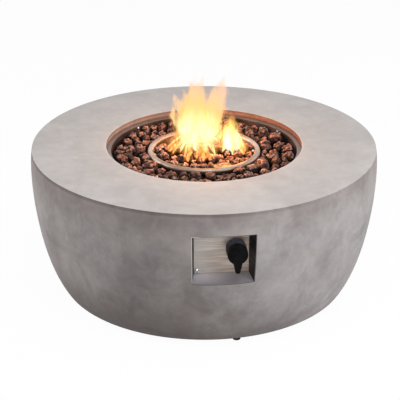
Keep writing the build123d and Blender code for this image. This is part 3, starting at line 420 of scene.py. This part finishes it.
def frame_steel():
    """Sheet steel of the recess: a grey floor with painted shade towards the front, side walls darkened as
    painted shade, and a front edge with a painted highlight on the left, painted shade to the right and a
    painted shade line along its bottom.
    """
    made = metal("frame_steel", (0.82, 0.79, 0.825), (0.66, 0.63, 0.655), 0.5, (0.08, 0.08, 1), 160.0)
    tree, shader, steel = reopen(made)
    across, depth, height = axes(tree, place(tree))
    to_right, to_back, up = facing(tree)
    # Painted shade: the side walls are made nearly black.
    side = spread(tree, sums(tree, "ABSOLUTE", to_right, 0.0), 0.6, 0.85)
    steel = blend(tree, side, steel, (0.02, 0.018, 0.017))
    # Painted shade on the floor, darker towards the front edge.
    inwards = spread(tree, depth, PLATE_FRONT - 0.054, PLATE_FRONT - 0.002)
    shade = tones(tree, inwards, [(0.0, (0.32, 0.31, 0.31)), (1.0, (0.8, 0.8, 0.82))])
    steel = tint(tree, steel, shade, spread(tree, up, 0.3, 0.7))
    # Painted highlight on the left of the front edge, turning into painted shade to the right.
    rightwards = spread(tree, across, FRAME_LEFT + 0.0036, FRAME_LEFT + 0.0286)
    edge = tones(tree, rightwards, [(0.0, (0.85, 0.83, 0.83)), (1.0, (0.2, 0.19, 0.19))])
    # A painted shade line along the bottom of the front edge.
    above = spread(tree, height, FRAME_LOW + 0.004, FRAME_LOW + 0.008)
    edge = blend(tree, above, (0.035, 0.032, 0.032), edge)
    rim = spread(tree, to_back, -0.93, -0.8, 1.0, 0.0)
    put(tree, shader.inputs["Base Color"], blend(tree, rim, steel, edge))
    shader.inputs["Metallic"].default_value = 0.35
    return made


def plate_steel():
    """Brushed plate with long pale and dark streaks, and painted warm light to the right."""
    made = metal("plate_steel", (0.6, 0.55, 0.515), (0.53, 0.475, 0.435), 0.42, (0.02, 1, 1), 260.0)
    tree, shader, steel = reopen(made)
    where = place(tree)
    patch = times(tree, clouds(tree, where, 30.0, 2.0), 0.05)
    across = plus(tree, axes(tree, where)[0], patch)
    # Painted warm light, stronger to the right.
    warm = between(tree, across, -0.03, 0.05, (0.98, 0.97, 0.975), (1.1, 1.0, 0.92))
    steel = tint(tree, steel, warm)
    long = clouds(tree, place(tree, scale=(0.035, 1, 1), shift=(1, 0, 4)), 400.0, 2.0, 0.6)
    streaks = tones(tree, spread(tree, long, 0.32, 0.68), [
        (0.0, (0.84, 0.8, 0.75)),
        (0.5, (1, 1, 1)),
        (1.0, (1.25, 1.28, 1.3)),
    ])
    brushed = spread(tree, across, -0.035, 0.015, 0.35, 1.0)
    put(tree, shader.inputs["Base Color"], tint(tree, steel, streaks, brushed))
    shader.inputs["Metallic"].default_value = 0.5
    return made


def fastener_steel():
    """Bright steel, with painted shade in its sockets and corners."""
    made = metal("fastener_steel", (0.88, 0.88, 0.87), (0.7, 0.7, 0.7), 0.25, scale=300.0)
    tree, shader, steel = reopen(made)
    # Painted shade where the surface is enclosed, such as in sockets.
    bright = spread(tree, shaded_corners(tree, 0.003), 0.35, 0.8)
    put(tree, shader.inputs["Base Color"], blend(tree, bright, (0.03, 0.03, 0.03), steel))
    return made


def pan_paint():
    """Heat-browned dark steel with a fine speckle, lighter worn patches and a painted highlight along the top
    of the flange.
    """
    made, tree, shader = new_material("pan_paint")
    where = place(tree)
    wide = clouds(tree, where, 16.0, 5.0, 0.6, 0.5)
    speck = clouds(tree, where, 300.0, 2.0)
    base = tones(tree, wide, [
        (0.3, (0.075, 0.045, 0.036)),
        (0.55, (0.115, 0.08, 0.07)),
        (0.75, (0.17, 0.135, 0.125)),
    ])
    # Painted highlight along the top of the flange.
    flange = spread(tree, axes(tree, where)[2], FLANGE_TOP - 0.003, FLANGE_TOP - 0.001)
    base = blend(tree, flange, base, (0.28, 0.24, 0.23))
    grit = tones(tree, speck, [(0.35, (0.82, 0.8, 0.79)), (0.65, (1.1, 1.1, 1.1))])
    put(tree, shader.inputs["Base Color"], tint(tree, base, grit, 0.7))
    put(tree, shader.inputs["Roughness"], spread(tree, wide, 0.3, 0.7, 0.36, 0.56))
    shader.inputs["Metallic"].default_value = 0.75
    bumps(tree, shader, [(speck, 0.00012), (wide, 0.0005)])
    return made


def plastic(name, colour, light, roughness, scale=700.0, depth=0.00008, gloss=0.4):
    """Moulded plastic, rubber or ceramic with a fine texture and a little dust."""
    made, tree, shader = new_material(name)
    where = place(tree)
    texture = clouds(tree, where, scale, 2.0)
    dust = clouds(tree, where, 60.0, 5.0, 0.65)
    put(tree, shader.inputs["Base Color"], tones(tree, dust, [(0.42, colour), (0.78, light)]))
    put(tree, shader.inputs["Roughness"], spread(tree, dust, 0.3, 0.75, roughness * 0.85, roughness * 1.2))
    shader.inputs["Specular IOR Level"].default_value = gloss
    bumps(tree, shader, [(texture, depth)])
    return made


def knob_plastic():
    """Black plastic with a paler top behind the grip, which is a painted highlight."""
    made = plastic("knob_plastic", (0.004, 0.004, 0.005), (0.01, 0.01, 0.011), 0.36, gloss=0.05)
    tree, shader, black = reopen(made)
    # Painted highlight on the upward-facing part behind the grip.
    behind = spread(tree, axes(tree, place(tree))[1], KNOB_FRONT + 0.013, KNOB_FRONT + 0.027)
    painted_top_highlight = times(tree, behind, spread(tree, facing(tree)[2], 0.3, 0.9))
    put(tree, shader.inputs["Base Color"], blend(tree, painted_top_highlight, black, (0.14, 0.145, 0.19)))
    return made


def lava_stone(tree, surface, patch):
    """The colour of lava stones: each a little different, stained in patches whose palest parts are a painted
    highlight, with painted light on their tops, painted highlights on ridges and painted shade in creases.
    """
    stone_tones = tones(tree, surface.outputs["Random Per Island"], [
        (0.0, (0.035, 0.02, 0.017)),
        (0.3, (0.072, 0.037, 0.029)),
        (0.55, (0.098, 0.056, 0.044)),
        (0.8, (0.064, 0.042, 0.035)),
        (1.0, (0.148, 0.09, 0.072)),
    ])
    # Random patches; their palest end is a painted highlight.
    tone_and_painted_light = tones(tree, patch, [
        (0.3, (0.22, 0.19, 0.18)),
        (0.5, (0.95, 0.92, 0.92)),
        (0.7, (2.7, 2.55, 2.45)),
    ])
    base = tint(tree, stone_tones, tone_and_painted_light)
    # Painted light: upward-facing surfaces are paler, downward-facing ones darker.
    top = tones(tree, spread(tree, facing(tree)[2], -0.3, 0.95), [
        (0.0, (0.18, 0.14, 0.13)),
        (0.6, (0.6, 0.54, 0.52)),
        (1.0, (1.45, 1.43, 1.42)),
    ])
    base = tint(tree, base, top)
    # Painted highlights on ridges and painted shade in creases.
    ridges = tones(tree, spread(tree, surface.outputs["Pointiness"], 0.43, 0.57), [
        (0.0, (0.13, 0.1, 0.09)),
        (0.5, (0.9, 0.88, 0.88)),
        (1.0, (2.5, 2.4, 2.35)),
    ])
    return tint(tree, base, ridges)


def lava():
    """Porous red-brown rock, with painted shade in its pores and in the gaps between stones."""
    made, tree, shader = new_material("lava")
    where = place(tree)
    surface = tree.nodes.new("ShaderNodeNewGeometry")
    patch = clouds(tree, where, 70.0, 5.0, 0.65, 0.6)
    grit = clouds(tree, where, 480.0, 4.0, 0.7)
    pores = spread(tree, cells(tree, where, 230.0), 0.08, 0.4)
    wide_pores = spread(tree, cells(tree, place(tree, shift=(2, 5, 9)), 105.0), 0.1, 0.36)
    base = lava_stone(tree, surface, patch)
    solid = times(tree, pores, wide_pores)
    # Painted shade in the pores.
    base = tint(tree, base, tones(tree, solid, [(0.0, (0.3, 0.26, 0.25)), (1.0, (1.08, 1.08, 1.08))]))
    # Painted shade in the gaps between stones.
    open_air = between(tree, shaded_corners(tree, 0.022), 0.3, 0.9, (0.07, 0.055, 0.05), (1.06, 1.03, 1.03))
    put(tree, shader.inputs["Base Color"], tint(tree, base, open_air))
    put(tree, shader.inputs["Roughness"], spread(tree, patch, 0.3, 0.7, 0.78, 0.95))
    shader.inputs["Specular IOR Level"].default_value = 0.25
    bumps(tree, shader, [(wide_pores, 0.0022), (pores, 0.0012), (grit, 0.0008)])
    return made


MATERIALS = {
    "concrete": concrete(),
    "pan_paint": pan_paint(),
    "burner_steel": burner_steel(),
    "pilot_steel": pilot_steel(),
    "plate_steel": plate_steel(),
    "frame_steel": frame_steel(),
    "fastener_steel": fastener_steel(),
    "brass": metal("brass", (0.76, 0.58, 0.3), (0.55, 0.38, 0.17), 0.3, scale=200.0),
    "valve_metal": metal("valve_metal", (0.7, 0.7, 0.69), (0.5, 0.5, 0.5), 0.48, scale=420.0, streaks=0.0002),
    "pipe_metal": metal("pipe_metal", (0.78, 0.78, 0.77), (0.6, 0.6, 0.6), 0.34, scale=160.0),
    "copper": metal("copper", (0.76, 0.45, 0.3), (0.5, 0.26, 0.17), 0.32, scale=200.0),
    "knob_plastic": knob_plastic(),
    "black_plastic": plastic("black_plastic", (0.005, 0.005, 0.006), (0.012, 0.012, 0.013), 0.36, gloss=0.1),
    # The bezel's pale grey-blue colour is a painted highlight.
    "bezel_plastic": plastic("bezel_plastic", (0.1, 0.105, 0.13), (0.14, 0.145, 0.17), 0.3, gloss=0.6),
    "foot_rubber": plastic("foot_rubber", (0.014, 0.014, 0.014), (0.05, 0.048, 0.045), 0.8, 500.0, 0.0002),
    "white_ceramic": plastic("white_ceramic", (0.84, 0.83, 0.79), (0.7, 0.68, 0.63), 0.35, 400.0, 0.00004),
    "lead_sleeve": plastic("lead_sleeve", (0.42, 0.07, 0.045), (0.5, 0.13, 0.1), 0.5, 600.0, 0.00005),
    "lava": lava(),
}


def mesh_object(name, points, faces, material):
    """A mesh with its material, in the scene."""
    mesh = bpy.data.meshes.new(name)
    mesh.from_pydata(points, [], faces)
    mesh.materials.append(material)
    made = bpy.data.objects.new(name, mesh)
    scene.collection.objects.link(made)
    return made


# Lava rocks
WELD = 1e-6
FINE_STONE = 4  # fineness of the ball that a stone starts from
COARSE_STONE = 3
STONE_EDGES = 26.0  # how sharp a stone's edges are
STONE_FILL = 0.96  # share of its room that a stone takes before it is made uneven
# Unevenness of a stone: its size in metres, and its depth as a share of the stone
LUMPS = (0.013, 0.06)
NUBS = (0.0055, 0.07)
PITS = (0.0085, 0.32)
RIDGES = (0.016, 0.2)
PIT_LEVEL = 0.12
PIT_SHIFT = Vector((7, 3, 1))
RIDGE_SHIFT = Vector((2, 9, 4))
# The buried layer: rings of stones round the gas feed, with room for the pilot
BED_SEED = 8
BED_RINGS = 7
BED_FIRST_RING = 0.034
BED_RING_STEP = 0.0315
BED_PITCH = 0.033
BED_SHAKE = 0.004
BED_LIFT = 0.001
BED_WALL_GAP = 0.003
FEED_ROOM = 0.0155
PILOT_ROOM = 0.04
PILOT_SEED_ROOM = 0.058
NEIGHBOUR_REACH = 0.07
NEIGHBOUR_GAP = 0.0003
STONE_HALF = 0.021


def ball(level):
    """Even directions on a sphere, and the triangles between them."""
    shape = bmesh.new()
    bmesh.ops.create_icosphere(shape, subdivisions=level, radius=1.0)
    shape.verts.ensure_lookup_table()
    ways = np.array([v.co for v in shape.verts])
    faces = [[v.index for v in f.verts] for f in shape.faces]
    shape.free()
    return ways, faces


def islands(mesh):
    """The separate closed solids of a CAD mesh, as (middle, face normals, distances from the middle)."""
    shape = bmesh.new()
    shape.from_mesh(mesh)
    bmesh.ops.remove_doubles(shape, verts=shape.verts, dist=WELD)
    shape.normal_update()
    left = set(shape.faces)
    found = []
    while left:
        group = {left.pop()}
        edge = list(group)
        while edge:
            face = edge.pop()
            for near in {f for e in face.edges for f in e.link_faces} & left:
                left.discard(near)
                group.add(near)
                edge.append(near)
        points = {v for f in group for v in f.verts}
        middle = sum((v.co for v in points), Vector()) / len(points)
        normals = np.array([f.normal for f in group])
        limits = np.array([f.normal.dot(f.verts[0].co - middle) for f in group])
        found.append((np.array(middle), normals, limits))
    shape.free()
    found.sort(key=lambda rock: tuple(rock[0]))
    return found


def stone(middle, normals, limits, ways):
    """A rough stone inside the planes: rounded at their edges, then lumped and pitted inwards."""
    pull = np.maximum(ways @ normals.T, 0) / limits
    reach = np.power(np.power(pull, STONE_EDGES).sum(1), -1 / STONE_EDGES)
    points = middle + ways * reach[:, None]
    for index, point in enumerate(points):
        spot = Vector(point)
        lump = noise.noise(spot / LUMPS[0])
        nub = noise.noise(spot / NUBS[0])
        pit = max(0.0, noise.noise(spot / PITS[0] + PIT_SHIFT) - PIT_LEVEL)
        ridge = abs(noise.noise(spot / RIDGES[0] + RIDGE_SHIFT))
        reach[index] *= STONE_FILL + LUMPS[1] * lump + NUBS[1] * nub - PITS[1] * pit - RIDGES[1] * ridge
    return middle + ways * reach[:, None]


def rock_piece(name, rocks, level, node):
    """All the stones of one CAD node as one piece."""
    ways, faces = ball(level)
    points = np.concatenate([stone(*rock, ways) for rock in rocks])
    step = len(ways)
    triangles = [[i + step * n for i in face] for n in range(len(rocks)) for face in faces]
    piece = mesh_object(name, points.tolist(), triangles, MATERIALS["lava"])
    piece.data.shade_smooth()
    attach(piece, "fire_pit")
    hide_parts(node)


def bed_seeds(low, high, pilot):
    """The middles of the buried stones, on shaken rings."""
    rng = random.Random(BED_SEED)
    level = (low.z + high.z) / 2
    seeds = []
    for ring in range(BED_RINGS):
        radius = BED_FIRST_RING + ring * BED_RING_STEP
        count = round(2 * math.pi * radius / BED_PITCH)
        for index in range(count):
            turn = 2 * math.pi * (index + 0.5 * (ring % 2)) / count
            x = radius * math.cos(turn) + rng.uniform(-BED_SHAKE, BED_SHAKE)
            y = radius * math.sin(turn) + rng.uniform(-BED_SHAKE, BED_SHAKE)
            if math.hypot(x - pilot.x, y - pilot.y) > PILOT_SEED_ROOM:
                seeds.append(Vector((x, y, level + rng.uniform(-BED_LIFT, BED_LIFT))))
    return seeds


def bed_rocks():
    """A packed layer of stones in the room of the CAD's solid bed."""
    low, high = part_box("lava_rock_bed")
    hood_low, hood_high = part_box("igniter_hood")
    pilot = (hood_low + hood_high) / 2
    seeds = bed_seeds(low, high, pilot)
    rocks = []
    for seed in seeds:
        out = Vector((seed.x, seed.y, 0)).normalized()
        away = Vector((pilot.x - seed.x, pilot.y - seed.y, 0))
        walls = [
            (Vector((0, 0, 1)), high.z - seed.z),
            (Vector((0, 0, -1)), seed.z - low.z),
            (out, high.x - BED_WALL_GAP - seed.xy.length),
            (-out, seed.xy.length - FEED_ROOM),
            (away.normalized(), away.length - PILOT_ROOM),
        ]
        for other in seeds:
            apart = other - seed
            if 0 < apart.length < NEIGHBOUR_REACH:
                walls.append((apart.normalized(), apart.length / 2 - NEIGHBOUR_GAP))
        normals = np.array([normal for normal, _ in walls])
        limits = np.array([min(limit, STONE_HALF) for _, limit in walls])
        rocks.append((np.array(seed), normals, limits))
    return rocks


rock_piece("rocks_outer", islands(nodes["lava_rocks_outer"].data), FINE_STONE, "lava_rocks_outer")
rock_piece("rocks_inner", islands(nodes["lava_rocks_inner"].data), FINE_STONE, "lava_rocks_inner")
rock_piece("rocks_below", bed_rocks(), COARSE_STONE, "lava_rock_bed")

# CAD nodes
SHARP_ANGLE = math.radians(28)


def even_normals():
    """A node group that smooths shading except over sharp edges."""
    tree = bpy.data.node_groups.new("even_normals", "GeometryNodeTree")
    tree.interface.new_socket("Geometry", in_out="INPUT", socket_type="NodeSocketGeometry")
    tree.interface.new_socket("Geometry", in_out="OUTPUT", socket_type="NodeSocketGeometry")
    start = tree.nodes.new("NodeGroupInput")
    end = tree.nodes.new("NodeGroupOutput")
    angle = tree.nodes.new("GeometryNodeInputMeshEdgeAngle")
    sharp = tree.nodes.new("FunctionNodeCompare")
    sharp.operation = "GREATER_THAN"
    sharp.inputs[1].default_value = SHARP_ANGLE
    tree.links.new(angle.outputs["Unsigned Angle"], sharp.inputs[0])
    weld = tree.nodes.new("GeometryNodeMergeByDistance")
    weld.inputs["Distance"].default_value = WELD
    soft = tree.nodes.new("GeometryNodeSetShadeSmooth")
    hard = tree.nodes.new("GeometryNodeSetShadeSmooth")
    hard.domain = "EDGE"
    hard.inputs["Shade Smooth"].default_value = False
    tree.links.new(sharp.outputs[0], hard.inputs["Selection"])
    tree.links.new(start.outputs[0], weld.inputs["Geometry"])
    tree.links.new(weld.outputs["Geometry"], soft.inputs["Geometry"])
    tree.links.new(soft.outputs["Geometry"], hard.inputs["Geometry"])
    tree.links.new(hard.outputs["Geometry"], end.inputs[0])
    return tree


smoothing = even_normals()
for finish, names in FINISHES.items():
    for name in names:
        piece = nodes[name]
        piece.data.materials.clear()
        piece.data.materials.append(MATERIALS[finish])
        piece.modifiers.new("even_normals", "NODES").node_group = smoothing


# Stage
def pale_floor():
    """A wide pale floor that shows white and keeps a faint shadow."""
    made, tree = empty_material("floor")
    diffuse = tree.nodes.new("ShaderNodeBsdfDiffuse")
    speckle = clouds(tree, place(tree), 3.0)
    grey = tones(tree, speckle, [(0.3, (0.44, 0.44, 0.44)), (0.7, (0.48, 0.48, 0.48))])
    put(tree, diffuse.inputs["Color"], grey)
    glow = tree.nodes.new("ShaderNodeEmission")
    glow.inputs["Strength"].default_value = FLOOR_GLOW
    mix = tree.nodes.new("ShaderNodeMixShader")
    put(tree, mix.inputs["Fac"], times(tree, seen(tree), FLOOR_WHITENESS))
    tree.links.new(diffuse.outputs[0], mix.inputs[1])
    tree.links.new(glow.outputs[0], mix.inputs[2])
    end_with(tree, mix, "ShaderNodeOutputMaterial", "Surface")
    corners = [(x * FLOOR_HALF, y * FLOOR_HALF, 0) for x, y in ((-1, -1), (1, -1), (1, 1), (-1, 1))]
    floor = mesh_object("floor", corners, [(0, 1, 2, 3)], made)


def white_world():
    """White where it is seen or mirrored, and a soft even light elsewhere."""
    world = bpy.data.worlds.new("studio")
    scene.world = world
    world.use_nodes = True
    tree = world.node_tree
    tree.nodes.clear()
    back = tree.nodes.new("ShaderNodeBackground")
    put(tree, back.inputs["Strength"], spread(tree, seen(tree), 0.0, 1.0, WORLD_LIGHT, 1.0))
    end_with(tree, back, "ShaderNodeOutputWorld", "Surface")


def softbox(name, where, at, size, power):
    """A large soft lamp turned towards a point."""
    data = bpy.data.lights.new(name, "AREA")
    data.shape = "RECTANGLE"
    data.size, data.size_y = size
    data.energy = power
    lamp = bpy.data.objects.new(name, data)
    lamp.location = where
    lamp.rotation_euler = (Vector(at) - Vector(where)).to_track_quat("-Z", "Y").to_euler()
    scene.collection.objects.link(lamp)


pale_floor()
white_world()
for box in SOFTBOXES:
    softbox(*box)

# Flame
# Each tongue: foot and tip as (right, away) from the burner's middle, then height and half width
TALL_TONGUES = (
    ((-0.012, 0.0), (-0.023, 0.0), 0.205, 0.029),
    ((-0.004, 0.0), (0.002, 0.0), 0.203, 0.022),
    ((-0.018, 0.0), (-0.046, 0.0), 0.19, 0.027),
    ((-0.022, 0.0), (-0.08, 0.0), 0.152, 0.022),
    ((-0.02, 0.0), (-0.058, 0.0), 0.168, 0.022),
    ((0.004, 0.0), (0.056, 0.0), 0.205, 0.029),
    ((0.004, 0.0), (0.034, 0.0), 0.172, 0.03),
    ((-0.008, 0.0), (-0.006, 0.005), 0.136, 0.04),
    ((0.01, 0.005), (0.034, 0.005), 0.112, 0.025),
    ((-0.05, 0.0), (-0.082, 0.0), 0.118, 0.017),
    ((-0.036, -0.01), (-0.06, 0.0), 0.09, 0.022),
    ((-0.022, -0.03), (-0.012, 0.0), 0.075, 0.017),
)
SHORT_TONGUES = (
    ((0.072, -0.035), (0.068, -0.02), 0.112, 0.019),
    ((0.086, -0.036), (0.073, -0.02), 0.088, 0.016),
    ((0.098, -0.038), (0.086, -0.03), 0.054, 0.01),
    ((0.064, -0.035), (0.056, -0.02), 0.106, 0.012),
    ((0.036, 0.025), (0.058, -0.01), 0.062, 0.011),
)
# Where the streaks of fire along the rocks run together: middle, reach and count
HEARTHS = (
    ((-0.016, -0.016), 0.096, 26),
    ((0.074, -0.036), 0.046, 9),
)
FLAME_SEED = 5
FLAME_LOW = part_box("lava_rocks_inner")[1].z - 0.004  # just below the tops of the rocks
TONGUE_RINGS = 26
TONGUE_SIDES = 18
TONGUE_SWAY = 0.09  # how far a tongue bends to the side, as a share of its height
TONGUE_LEAN = 1.4  # above 1, it leans more towards its tip
TONGUE_RAGS = 0.5  # how uneven its outline is
TONGUE_RIPPLES = 6  # how fast its outline changes upwards
TONGUE_SHIFT = 9  # how far away in the noise another tongue's outline may be taken from
HAZE_WIDTH = 1.4  # the thin gas round a tongue, as a share of its width
GLOW_WIDTH = 2.8  # the same round a streak
WARM_AIR_HEIGHT = 0.07
# Streaks: how far out they start and end as shares of the hearth's reach, then height and half width
STREAK_FEET = (0.5, 1.15)
STREAK_TIP = 0.08
STREAK_HEIGHTS = (0.04, 0.075)
STREAK_WIDTHS = (0.003, 0.0075)
STREAK_SHAKE = 0.8  # how unevenly they are spread round the hearth
HEARTH_WIDTH = 0.74  # a hearth's width from left to right, as a share of its depth
# Colours of the gas from hot to cool
BODY_TONES = (
    (0.0, (1.0, 0.99, 0.78)),
    (0.3, (1.0, 0.92, 0.45)),
    (0.48, (1.0, 0.73, 0.27)),
    (0.7, (1.0, 0.68, 0.35)),
    (0.95, (1.0, 0.62, 0.41)),
)
SHORT_TONES = (
    (0.0, (1.0, 0.99, 0.82)),
    (0.25, (1.0, 0.88, 0.4)),
    (0.45, (1.0, 0.6, 0.15)),
    (0.7, (1.0, 0.4, 0.07)),
)
HAZE_TONES = (
    (0.0, (1.0, 0.7, 0.25)),
    (0.3, (1.0, 0.47, 0.08)),
    (0.6, (1.0, 0.42, 0.1)),
    (0.95, (1.0, 0.56, 0.31)),
)
STREAK_TONES = (
    (0.0, (1.0, 0.94, 0.66)),
    (0.15, (1.0, 0.72, 0.32)),
    (0.3, (1.0, 0.48, 0.13)),
    (0.5, (1.0, 0.3, 0.05)),
)
# Each gas: the height that its tones span, the tones, its glow where hot and cool, its density low and high
TALL_FLAME = 0.215
SHORT_FLAME = 0.155
GASES = {
    "tall_flame": (TALL_FLAME, BODY_TONES, 1.75, 1.08, 190.0, 56.0),
    "short_flame": (SHORT_FLAME, SHORT_TONES, 2.0, 1.5, 190.0, 80.0),
    "haze": (TALL_FLAME, HAZE_TONES, 1.6, 1.5, 16.0, 12.0),
    "streak": (TALL_FLAME, STREAK_TONES, 2.4, 1.3, 650.0, 650.0),
    "ember_glow": (TALL_FLAME, STREAK_TONES, 1.0, 1.0, 26.0, 26.0),
    "warm_air": (TALL_FLAME, STREAK_TONES, 1.0, 1.0, 10.0, 10.0),
}
VOLUME_STEP = 0.25
# The light that the fire throws, in watts and metres above the foot of the flame
FIRE_COLOUR = (1.0, 0.46, 0.16)
FIRE_SIZE = 0.04
FIRE_POWER = 2.0
FIRE_HEIGHT = 0.1
EMBERS = 6
EMBER_RING = 0.06
EMBER_POWER = 0.32
EMBER_HEIGHT = 0.018
SIDE_EMBER = (0.086, -0.07)
SIDE_EMBER_POWER = 0.38
SIDE_EMBER_HEIGHT = 0.022


def to_world(spot):
    """A place given as (right, away) in the photograph's view, in the part's frame."""
    turn = math.radians(AZIMUTH)
    right, away = spot
    x = right * math.cos(turn) - away * math.sin(turn)
    return Vector((x, right * math.sin(turn) + away * math.cos(turn), 0))


def from_hearths(tree):
    """Distance from the nearest hearth, as a share of its reach."""
    shares = []
    for middle, reach, _ in HEARTHS:
        gap = tree.nodes.new("ShaderNodeVectorMath")
        gap.operation = "DISTANCE"
        tree.links.new(place(tree, scale=(1, 1, 0)), gap.inputs[0])
        gap.inputs[1].default_value = to_world(middle)
        shares.append(sums(tree, "DIVIDE", gap.outputs["Value"], reach))
    return sums(tree, "MINIMUM", *shares)


def flame_gas(name, tall, colours, hot, cool, dense, airy):
    """Glowing gas that covers what is behind it, its colour changing upwards and away from the hearths."""
    made, tree = empty_material(name)
    made.cycles.volume_step_rate = VOLUME_STEP
    height = axes(tree, place(tree))[2]
    wisps = clouds(tree, place(tree, scale=(1, 1, 0.22)), 62.0, 3.0, 0.6, 1.4)
    share = spread(tree, wisps, 0.38, 0.6, 0.08, 1.0)
    tears = clouds(tree, place(tree, scale=(1, 1, 0.4), shift=(4, 1, 6)), 34.0, 2.0)
    whole = spread(tree, tears, 0.36, 0.54, 0.3, 1.0)
    thickness = spread(tree, height, FLAME_LOW + 0.04, FLAME_LOW + tall - 0.02, dense, airy)
    density = times(tree, times(tree, share, whole), thickness)
    rise = spread(tree, height, FLAME_LOW, FLAME_LOW + tall, 0.0, 0.85)
    outwards = spread(tree, from_hearths(tree), 0.2, 1.0)
    cooling = plus(tree, rise, times(tree, outwards, 0.4))
    cooling = plus(tree, cooling, spread(tree, share, 0.08, 0.8, 0.28, 0.0))
    glow = tree.nodes.new("ShaderNodeEmission")
    put(tree, glow.inputs["Color"], tones(tree, cooling, colours))
    put(tree, glow.inputs["Strength"], times(tree, density, spread(tree, cooling, 0.1, 0.6, hot, cool)))
    cover = tree.nodes.new("ShaderNodeVolumeAbsorption")
    cover.inputs["Color"].default_value = (0, 0, 0, 1)
    put(tree, cover.inputs["Density"], density)
    both = tree.nodes.new("ShaderNodeAddShader")
    tree.links.new(glow.outputs[0], both.inputs[0])
    tree.links.new(cover.outputs[0], both.inputs[1])
    end_with(tree, both, "ShaderNodeOutputMaterial", "Volume")
    return made


def drop(along):
    """The radius of a tongue along its height: narrow at both ends, about 1 where it is widest."""
    return 3.4 * (along + 0.01) ** 0.8 * (1.001 - along) ** 1.1


def tongue(foot, tip, height, width, gas, sway, shift):
    """One tongue of fire: a bent, uneven drop of gas."""
    points = []
    for ring in range(TONGUE_RINGS):
        along = ring / (TONGUE_RINGS - 1)
        middle = foot.lerp(tip, along ** TONGUE_LEAN)
        middle.x += sway * math.sin(along * 2 * math.pi) * along
        radius = width * drop(along)
        for side in range(TONGUE_SIDES):
            turn = 2 * math.pi * side / TONGUE_SIDES
            around = Vector((math.cos(turn), math.sin(turn), along * TONGUE_RIPPLES))
            rag = noise.noise(shift + around)
            reach = radius * (1 + TONGUE_RAGS * rag)
            x = middle.x + reach * math.cos(turn)
            y = middle.y + reach * math.sin(turn)
            points.append((x, y, FLAME_LOW + height * along))
    faces = [tuple(range(TONGUE_SIDES))[::-1]]
    for ring in range(TONGUE_RINGS - 1):
        for side in range(TONGUE_SIDES):
            near = ring * TONGUE_SIDES + side
            far = ring * TONGUE_SIDES + (side + 1) % TONGUE_SIDES
            faces.append((near, far, far + TONGUE_SIDES, near + TONGUE_SIDES))
    last = (TONGUE_RINGS - 1) * TONGUE_SIDES
    faces.append(tuple(range(last, last + TONGUE_SIDES)))
    piece = mesh_object("flame", points, faces, gas)
    piece.visible_shadow = False
    piece.visible_diffuse = False


def wrapped_tongue(rng, foot, tip, height, width, gas, rim_gas, rim_width):
    """A tongue of fire inside a wider one of thinner gas."""
    sway = rng.uniform(-TONGUE_SWAY, TONGUE_SWAY) * height
    shift = Vector((rng.uniform(0, TONGUE_SHIFT), rng.uniform(0, TONGUE_SHIFT), 0))
    tongue(foot, tip, height, width, gas, sway, shift)
    tongue(foot, tip, height, width * rim_width, rim_gas, sway, shift)


def streaks_of_fire(rng, gases, middle, reach, count):
    """Warm air over a hearth, and the streaks of fire that run to its middle along the rocks."""
    spot = to_world(middle)
    tongue(spot, spot, WARM_AIR_HEIGHT, reach, gases["warm_air"], 0.0, Vector())
    for index in range(count):
        way = 2 * math.pi * (index + rng.uniform(-STREAK_SHAKE, STREAK_SHAKE)) / count
        out = Vector((math.cos(way) * HEARTH_WIDTH, math.sin(way), 0)) * reach
        foot = spot + out * rng.uniform(*STREAK_FEET)
        tip = spot + out * STREAK_TIP
        height = rng.uniform(*STREAK_HEIGHTS)
        width = rng.uniform(*STREAK_WIDTHS)
        wrapped_tongue(rng, foot, tip, height, width, gases["streak"], gases["ember_glow"], GLOW_WIDTH)


def flames():
    """The fire on the burner, which isn't part of the object."""
    rng = random.Random(FLAME_SEED)
    gases = {name: flame_gas(name, *values) for name, values in GASES.items()}
    for name, tongues in (("tall_flame", TALL_TONGUES), ("short_flame", SHORT_TONGUES)):
        for foot, tip, height, width in tongues:
            ends = to_world(foot), to_world(tip)
            wrapped_tongue(rng, *ends, height, width, gases[name], gases["haze"], HAZE_WIDTH)
    for hearth in HEARTHS:
        streaks_of_fire(rng, gases, *hearth)


def fire_lamp(name, spot, height, power):
    """A small warm lamp over a spot on the rocks."""
    data = bpy.data.lights.new(name, "POINT")
    data.energy = power
    data.color = FIRE_COLOUR
    data.shadow_soft_size = FIRE_SIZE
    lamp = bpy.data.objects.new(name, data)
    lamp.location = spot + Vector((0, 0, FLAME_LOW + height))
    scene.collection.objects.link(lamp)


def firelight():
    """The warm light that the fire and its embers throw."""
    fire_lamp("fire", Vector(), FIRE_HEIGHT, FIRE_POWER)
    for index in range(EMBERS):
        way = 2 * math.pi * index / EMBERS
        spot = Vector((math.cos(way), math.sin(way), 0)) * EMBER_RING
        fire_lamp("ember_%d" % index, spot, EMBER_HEIGHT, EMBER_POWER)
    fire_lamp("side_ember", to_world(SIDE_EMBER), SIDE_EMBER_HEIGHT, SIDE_EMBER_POWER)


flames()
firelight()


# Camera
def camera():
    """The photograph's view."""
    turn = math.radians(AZIMUTH)
    dip = math.radians(PITCH)
    right = Vector((math.cos(turn), math.sin(turn), 0))
    ahead = Vector((-math.sin(turn), math.cos(turn), 0))
    forward = ahead * math.cos(dip) - Vector((0, 0, math.sin(dip)))
    up = ahead * math.sin(dip) + Vector((0, 0, math.cos(dip)))
    data = bpy.data.cameras.new("camera")
    data.sensor_width = SENSOR
    data.lens = FOCAL_PIXELS * SENSOR / IMAGE_PIXELS
    view = bpy.data.objects.new("camera", data)
    deck = Vector((0, 0, DECK_TOP))
    spot = deck + right * AIM_SIDE + up * AIM_DOWN - forward * DISTANCE
    turned = Matrix((right, up, -forward)).transposed()
    view.matrix_world = Matrix.Translation(spot) @ turned.to_4x4()
    scene.collection.objects.link(view)
    scene.camera = view


camera()
scene.view_settings.view_transform = "Standard"
